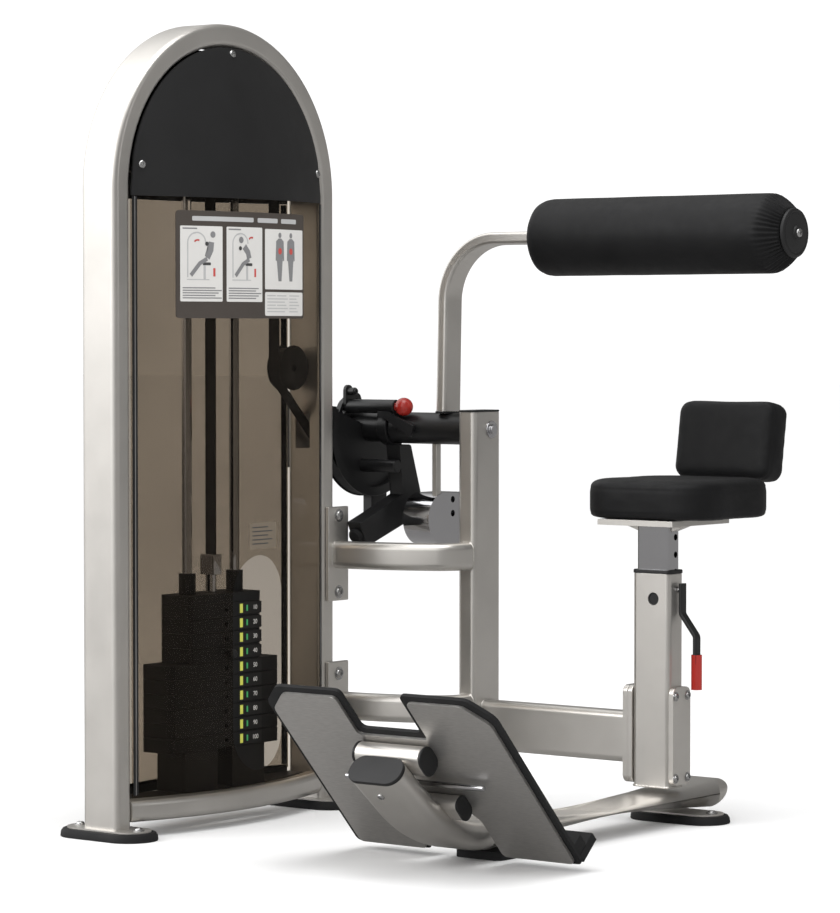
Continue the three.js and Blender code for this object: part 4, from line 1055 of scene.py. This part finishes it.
def relax(obj, rounds):
    """Smooths out voxel steps."""
    bm = bmesh.new()
    bm.from_mesh(obj.data)
    for _ in range(rounds):
        bmesh.ops.smooth_vert(bm, verts=bm.verts, factor=0.5,
                              use_axis_x=True, use_axis_y=True, use_axis_z=True)
    bm.to_mesh(obj.data)
    bm.free()


def prism(section, levels, place):
    """Rings of one outline, each level giving (height, inset), put in place by a function."""
    return rings_to_bmesh([[place(x, y, height, inset) for x, y in section] for height, inset in levels])


def inset_point(x, y, inset, half_x, half_y):
    """Draws a point in towards the middle by about inset millimetres."""
    return x * (1 - inset / half_x), y * (1 - inset / half_y)


def sewn_seam(obj, axis, level, depth, width=5):
    """Presses a stitched groove round a cushion where it crosses a plane at level along axis."""
    origin = at(0, 0, 0)
    for v in obj.data.vertices:
        point = (v.co - origin) / MM
        off = abs(point.dot(axis) - level)
        if off < width:
            push = depth * (1 + math.cos(math.pi * off / width)) / 2
            v.co -= v.normal * push * MM


def finish_cushion(obj, body, node):
    subdivide = obj.modifiers.new("subdivide", "SUBSURF")
    subdivide.levels = 1
    subdivide.render_levels = 1
    apply_modifiers(obj)
    obj.data.shade_smooth()
    dress(obj, "vinyl", body)
    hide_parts(node)


def make_seat_cushion():
    section = round_rect(336, 332, 93, 10)
    levels = [(673, 8), (676, 2), (681, 0), (738, 0), (746, 2.5), (751, 7), (754, 15), (755.5, 32)]

    def place(x, y, height, inset):
        px, py = inset_point(x, y, inset, 168, 166)
        return Vector((SEAT_X + 8 + px, 625 + py, height))

    obj = pillow(prism(section, levels, place), 2, "seat_pad")
    relax(obj, 4)
    underside = at(0, 0, 671.3).z
    for v in obj.data.vertices:
        v.co.z = max(v.co.z, underside)
    sewn_seam(obj, Z, 736, 1.3)
    sewn_seam(obj, Z, 684, 1.0)
    finish_cushion(obj, "seat", "seat_cushion")


def make_back_cushion():
    lean = math.radians(9)
    turn = Matrix.Rotation(-lean, 3, "X")
    foot = Vector((SEAT_X, 798, 748))
    section = round_rect(257, 179, 27, 6)
    levels = [(71, 10), (69, 3), (63, 0), (16, 0), (8, 2.5), (3, 8), (1, 20)]

    def place(x, y, depth, inset):
        px, py = inset_point(x, y, inset, 128.5, 89.5)
        return foot + turn @ Vector((px, depth, py + 92))

    obj = pillow(prism(section, levels, place), 1.6, "back_pad")
    relax(obj, 4)
    axis = turn @ Y
    level = foot.dot(axis)
    sewn_seam(obj, axis, level + 15, 1.6)
    sewn_seam(obj, axis, level + 60, 1.2)
    finish_cushion(obj, "seat", "back_cushion")


def make_roller():
    """A foam roller in a drawn cover, gathered in pleats round the end cap."""
    around, pleats = 220, 44
    left, right = ROLLER_LEFT_X, ROLLER_RIGHT_X
    profile = [(20, left), (60, left + 0.5), (74, left + 3), (81, left + 9), (84.5, left + 18),
               (86, left + 30)]
    profile += [(86, left + 30 + (right - left - 60) * k / 14) for k in range(1, 15)]
    profile += [(86, right - 18), (85.5, right - 7), (83.5, right), (80, right + 6), (76, right + 12),
                (71, right + 19), (66, right + 25), (60, right + 32), (57, right + 36), (54, right + 39),
                (50, right + 39.5), (20, right + 39.5)]
    bm = bmesh.new()
    rows = []
    for radius, along in profile:
        row = []
        gathered = max(0.0, min(1.0, (along - right + 12) / 34))
        for i in range(around):
            a = 2 * math.pi * i / around
            wave = noise.noise(Vector((math.cos(a) * 2, math.sin(a) * 2, along * 0.011)))
            fold = math.sin(pleats * a + 1.4 * noise.noise(Vector((math.cos(a) * 3, math.sin(a) * 3, 0.5))))
            shift = 0.8 * wave + gathered * (2.4 * fold - 1.2)
            if radius < 53:
                shift = 0
            r = radius + min(shift, 1.2)
            row.append(bm.verts.new((along, ROLLER_Y + r * math.cos(a), ROLLER_Z + r * math.sin(a))))
        rows.append(row)
    rows.append(rows[0])
    for one, two in zip(rows, rows[1:]):
        for i in range(around):
            j = (i + 1) % around
            bm.faces.new((one[i], one[j], two[j], two[i]))
    roller = finish_mesh("roller_cover", bm, "vinyl", "roller", 60)
    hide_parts("roller_pad")
    cap_x = right + 41
    centre = (cap_x, ROLLER_Y, ROLLER_Z)
    profile = [(0, 0), (51, 0), (53, 1.5), (53.5, 4), (52, 7), (47, 8.5), (45.5, 7.5), (43.5, 7.5), (42, 8.8),
               (20, 11), (17, 12), (15.5, 15), (0, 15)]
    cap = turned("roller_cap", profile, X, centre, "black_plastic", "roller", 72)
    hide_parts("roller_end_cap")
    bolt("roller_bolt", (cap_x + 15, ROLLER_Y, ROLLER_Z), X, 9.5, "roller")


make_seat_cushion()
make_back_cushion()
make_roller()


# ---- Swinging arm ----
def make_roller_arm():
    up = Vector((0, math.sin(ARM_LEAN), math.cos(ARM_LEAN)))
    square = -X.cross(up)
    start = Vector((228, PIVOT_Y, PIVOT_Z)) + up * 34
    rise = (ROLLER_Z - PIVOT_Z) / math.cos(ARM_LEAN) - 34
    route = Route(start, up, square).run(rise - 140).bend(140, 90, 28).run(ROLLER_LEFT_X - 12 - 228 - 140)
    section = round_rect(64, 27, 8, 6)
    arm = tube("roller_arm_tube", route, section, "silver_paint", "arm")
    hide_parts("roller_arm")
    collar = ROLLER_LEFT_X - 22
    axle = [(0, collar), (22, collar), (22, collar + 20), (16, collar + 20.5), (16, 1136), (0, 1136)]
    turned("roller_axle", axle, X, (0, ROLLER_Y, ROLLER_Z), "chrome", "arm", 32)
    weld("weld_arm_foot", [p + up * 3 for p in route.ring(0, section)], up, "arm", 3, "black_weld")


def beside_pivot(points):
    """(Y, Z) points measured from the pivot, as an outline of the drawing frame."""
    return [(PIVOT_Y + y, PIVOT_Z + z) for y, z in points]


def around_pivot(degrees, radius, x):
    angle = math.radians(degrees)
    return Vector((x, PIVOT_Y + radius * math.cos(angle), PIVOT_Z + radius * math.sin(angle)))


def side_slab(name, outline, x0, x1, radius, body, finish="black_paint"):
    """A flat piece standing square to X, from an outline in Y and Z."""
    return slab(name, outline, ((x0, 0, 0), Y, Z), x1 - x0, radius, finish, body)


def make_belt_run():
    """The belt above the stack, as a straight tube in 24 lengths; on the machine its top stays at the pulley
    while its foot goes up with the plates.
    """
    low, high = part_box("belt_stack_run")
    size = (high - low) / MM
    middle = (low + high) / 2 / MM + ORIGIN
    section = round_rect(size.x, size.y, min(size.x, size.y) * 0.3, 3)
    start = Vector((middle.x, middle.y, middle.z - size.z / 2))
    route = Route(start, Z, X)
    for _ in range(24):
        route.run(size.z / 24)
    rings = [level_ring(*p, section) for p in route.points]
    run = finish_mesh("belt_run", rings_to_bmesh(rings), "rubber", None)
    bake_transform(run)
    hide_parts("belt_stack_run")


def on_pivot(name, profile):
    return turned(name, profile, X, (0, PIVOT_Y, PIVOT_Z), "black_paint", "cam", 64)


def make_cam():
    first, last, steps = 162, 325, 90
    angles = [first + (last - first) * i / steps for i in range(steps + 1)]
    flank = [(139, 19), (159, 19), (160, 18), (160, 16.5), (153, 15.5)]
    rim = [(radius, -x) for radius, x in flank] + flank[::-1]
    rings = [[around_pivot(angle, radius, STACK_X + x) for radius, x in rim] for angle in angles]
    cam = finish_mesh("cam_rim", rings_to_bmesh(rings), "black_paint", "cam")
    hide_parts("cam_wheel")
    web = [(point.y, point.z) for point in (around_pivot(angle, 141, 0) for angle in angles[::3])]
    side_slab("cam_web", web + [(PIVOT_Y, PIVOT_Z)], STACK_X - 5, STACK_X + 5, 0.5, "cam")
    on_pivot("cam_hub", [(15.5, -52), (33, -52), (34, -51), (34, 51), (33, 52), (15.5, 52)])
    plate = soften(beside_pivot([(-70, -24), (-70, 28), (-52, 58), (-16, 80), (12, 78), (33, 30), (33, -30),
                                 (-10, -40), (-50, -36)]), 7, 4)
    holed = side_slab("cam_hole_plate", plate, -51.5, -39, 1, "cam")
    arm = PULL_PIN - Vector((0, PIVOT_Y, PIVOT_Z))
    level = math.degrees(math.atan2(arm.z, arm.y))
    for step in (-2, -1, 0, 1):
        hole = around_pivot(level + 16 * step, arm.length, 0)
        carve(holed, (-60, hole.y, hole.z), (-30, hole.y, hole.z), 7, X)
    for z in (10, -16):
        turned(f"cam_socket_{z}", [(0, -40), (6.5, -40), (6.5, -36), (4, -36), (4, -38), (0, -38)], X,
               (0, PIVOT_Y - 45, PIVOT_Z + z), "rubber", "cam", 24)
    rounded_block("cam_anchor", (-19, 555, 652), (7, 612, 706), 2, "black_paint", "cam")


def make_stop_arm():
    corners = [(-22, -38), (-2, -155), (-166, -212), (-137, -269), (78, -196), (26, -39)]
    crank = side_slab("stop_crank", soften(beside_pivot(corners), 5, 3), 64, 102, 3, "cam")
    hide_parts("stop_arm")
    on_pivot("stop_hub", [(15.5, 52.5), (41, 52.5), (42, 53.5), (42, 77), (41, 78), (15.5, 78)])
    rounded_block("stop_neck", (64.2, 538, 812), (77.8, 578, 824), 1, "black_paint", "cam")
    turned("stop_boss", [(0, 1.4), (15, 1.4), (15, 101), (13, 103), (0, 103)], X,
           (0, PIVOT_Y - 26, PIVOT_Z - 88), "black_paint", "cam", 40)
    pad = Vector((83, 404, 616))
    turned("stop_pad", [(0, -1), (17, -1), (17, 6), (14, 10), (0, 11)], Vector((0, -0.89, -0.46)), pad,
           "rubber", "cam", 32)


def make_sleeve():
    sleeve = turned("sleeve_tube", [(15.6, 79), (34, 79), (36, 81), (36, 298), (34, 300), (15.6, 300)], X,
                    (0, PIVOT_Y, PIVOT_Z), "black_paint", "arm", 72)
    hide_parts("pivot_sleeve")
    turned("pin_barrel", [(7.2, -38.6), (15, -38.6), (16, -37.6), (16, 104.5), (14.5, 106), (7.2, 106)], X,
           PULL_PIN, "black_paint", "arm", 48)
    rounded_block("barrel_web", (79, 514, 876), (105, 552, 903), 2, "black_paint", "arm")
    lug = [(PULL_PIN.y - 4 + y, PULL_PIN.z + 21 + z) for y, z in round_rect(26, 56, 12, 8)]
    side_slab("barrel_lug", lug, -38.6, -30.6, 1, "arm")
    bolt("lug_bolt", (-12, PULL_PIN.y - 4, PULL_PIN.z + 34), X, 7, "arm", 0, "black_bolt")
    turned("lug_boss", [(0, -31), (9, -31), (9, -13), (8, -12), (0, -12)], X,
           (0, PULL_PIN.y - 4, PULL_PIN.z + 34), "black_paint", "arm", 32)
    gusset = soften([(60, 882), (78, 881), (155, 838), (166, 864), (104, 890), (96, 896), (60, 896)], 2, 2)
    slab("barrel_gusset", gusset, ((0, 516, 0), X, Z), 8, 1, "black_paint", "arm")
    rounded_block("gusset_weld", (113, 515, 849), (155, 530, 865), 2, "black_paint", "arm")


def make_pull_knob():
    centre, radius = 127, 21
    profile = [(0, -37.5), (6, -37.5), (6, centre - 23), (10, centre - 22), (11, centre - 19)]
    for i in range(29):
        angle = math.radians(30 + 150 * i / 28)
        profile.append((radius * math.sin(angle) if i < 28 else 0, centre - radius * math.cos(angle)))
    knob = turned("pull_knob", profile, X, PULL_PIN, "red_plastic", "start_pin", 56)
    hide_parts("pull_pin")


def make_counterweight():
    nose, middle, radius = PIVOT_Y + 18, PIVOT_Z - 208, 60
    outline = [(PIVOT_Y + 88, middle - radius), (PIVOT_Y + 88, middle + radius)]
    for i in range(41):
        angle = math.radians(90 + 180 * i / 40)
        outline.append((nose + radius * math.cos(angle), middle + radius * math.sin(angle)))
    weight = side_slab("counterweight_block", outline, 130, 204, 1.5, "arm", "chrome")
    for z in (44, 12):
        carve(weight, (182, PIVOT_Y + 50, middle + z), (230, PIVOT_Y + 50, middle + z), 7.5, X)
    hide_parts("counterweight")
    bar_low, bar_high = (188, PIVOT_Y - 8, middle + 52), (202, PIVOT_Y + 8, PIVOT_Z - 35.5)
    rounded_block("counterweight_bar", bar_low, bar_high, 1.5, "silver_paint", "arm")


make_belt_run()
make_roller_arm()
make_cam()
make_stop_arm()
make_sleeve()
make_pull_knob()
make_counterweight()


# ---- Finishes of the CAD pieces that stay as they are ----
def dress_cad_nodes():
    slots = {entry["node"]: entry["material_slot"] for entry in frame["record"]["subparts"]}
    for name, obj in NODES.items():
        obj.data.materials.clear()
        obj.data.materials.append(MATS[slots[name]])
        if obj.hide_render:
            continue
        weldmod = obj.modifiers.new("merge", "WELD")
        weldmod.merge_threshold = 0.00001
        edge = obj.modifiers.new("edges", "BEVEL")
        edge.width = 0.001
        edge.segments = 2
        edge.limit_method = "ANGLE"
        edge.angle_limit = math.radians(40)


def flatten_normals():
    """Keeps large flat faces looking flat beside their rounded edges."""
    for obj in PIECES:
        normals = obj.modifiers.new("normals", "WEIGHTED_NORMAL")
        normals.weight = 80
        normals.keep_sharp = True


dress_cad_nodes()
flatten_normals()


# ---- Studio ----
def area_light(name, place, target, size, power):
    light = bpy.data.lights.new(name, "AREA")
    light.shape = "RECTANGLE"
    light.size, light.size_y = size
    light.energy = power
    obj = bpy.data.objects.new(name, light)
    obj.location = place
    obj.rotation_euler = (Vector(target) - Vector(place)).to_track_quat("-Z", "Y").to_euler()
    bpy.context.scene.collection.objects.link(obj)


def split_glossy(nodes, links, usual, glossy, surface):
    """Shows one shader to glossy rays, and the usual one to all others."""
    path = nodes.new("ShaderNodeLightPath")
    mix = nodes.new("ShaderNodeMixShader")
    links.new(path.outputs["Is Glossy Ray"], mix.inputs["Fac"])
    links.new(usual, mix.inputs[1])
    links.new(glossy, mix.inputs[2])
    links.new(mix.outputs["Shader"], surface)


def make_world():
    """White all round, but glossy surfaces mirror a room bright in front on the left and dim behind."""
    world = bpy.data.worlds.new("studio")
    world.use_nodes = True
    nodes, links = world.node_tree.nodes, world.node_tree.links
    white = nodes["Background"]
    white.inputs["Color"].default_value = (1, 1, 1, 1)
    white.inputs["Strength"].default_value = 1.13
    coords = nodes.new("ShaderNodeTexCoord")
    side = nodes.new("ShaderNodeVectorMath")
    side.operation = "DOT_PRODUCT"
    side.inputs[1].default_value = (-0.58, -0.65, 0.49)
    links.new(coords.outputs["Generated"], side.inputs[0])
    along = nodes.new("ShaderNodeMapRange")
    along.inputs["From Min"].default_value = -1
    along.inputs["From Max"].default_value = 1
    links.new(side.outputs["Value"], along.inputs["Value"])
    room_tone = ramp(nodes, links, along.outputs["Result"],
                     [(0.0, (0.1, 0.098, 0.095)), (0.3, (0.08, 0.078, 0.075)), (0.52, (0.1, 0.099, 0.097)),
                      (0.72, (0.48, 0.48, 0.475)), (0.9, (1, 1, 1))])
    room = nodes.new("ShaderNodeBackground")
    room.inputs["Strength"].default_value = 1.95
    links.new(room_tone, room.inputs["Color"])
    surface = nodes["World Output"].inputs["Surface"]
    split_glossy(nodes, links, white.outputs["Background"], room.outputs["Background"], surface)
    bpy.context.scene.world = world


def studio_floor():
    """A white floor that glossy surfaces mirror as a darker one."""
    mat = worn_surface("floor", (0.9, 0.9, 0.9), 0.9, 0.0, 0.01, 60, 0.00001, 0.0)
    nodes, links = mat.node_tree.nodes, mat.node_tree.links
    dim = nodes.new("ShaderNodeBsdfDiffuse")
    dim.inputs["Color"].default_value = (0.3, 0.295, 0.29, 1)
    surface = nodes["Material Output"].inputs["Surface"]
    split_glossy(nodes, links, nodes["Principled BSDF"].outputs["BSDF"], dim.outputs["BSDF"], surface)
    return mat


def make_studio():
    bm = bmesh.new()
    bmesh.ops.create_grid(bm, x_segments=2, y_segments=2, size=60)
    floor = link_mesh("floor", bm)
    floor.data.materials.append(studio_floor())
    make_world()
    area_light("key", (-2.6, -4.6, 3.2), (0, 0, 0.8), (2.2, 2.6), 90)
    area_light("top", (0.4, -0.6, 4.6), (0, 0, 0), (2.5, 2.5), 60)
    area_light("right", (4.8, 1.2, 2.6), (0, 0, 0.8), (0.7, 2.6), 8)


CAMERA_PLACE = (5199.45, -5965.99, 1079.36)
CAMERA_DOWN = 1.991
CAMERA_ROUND = 37.759
CAMERA_LENS = 141.68


def make_camera():
    """The photograph's view; the place is in millimetres and the two turns are in degrees."""
    camera = bpy.data.cameras.new("camera")
    camera.sensor_width = 36
    camera.lens = CAMERA_LENS
    camera.clip_end = 100
    obj = bpy.data.objects.new("camera", camera)
    obj.location = at(*CAMERA_PLACE)
    obj.rotation_euler = (math.radians(90 - CAMERA_DOWN), 0, math.radians(CAMERA_ROUND))
    bpy.context.scene.collection.objects.link(obj)
    bpy.context.scene.camera = obj


make_studio()
make_camera()
bpy.context.scene.view_settings.view_transform = "Standard"
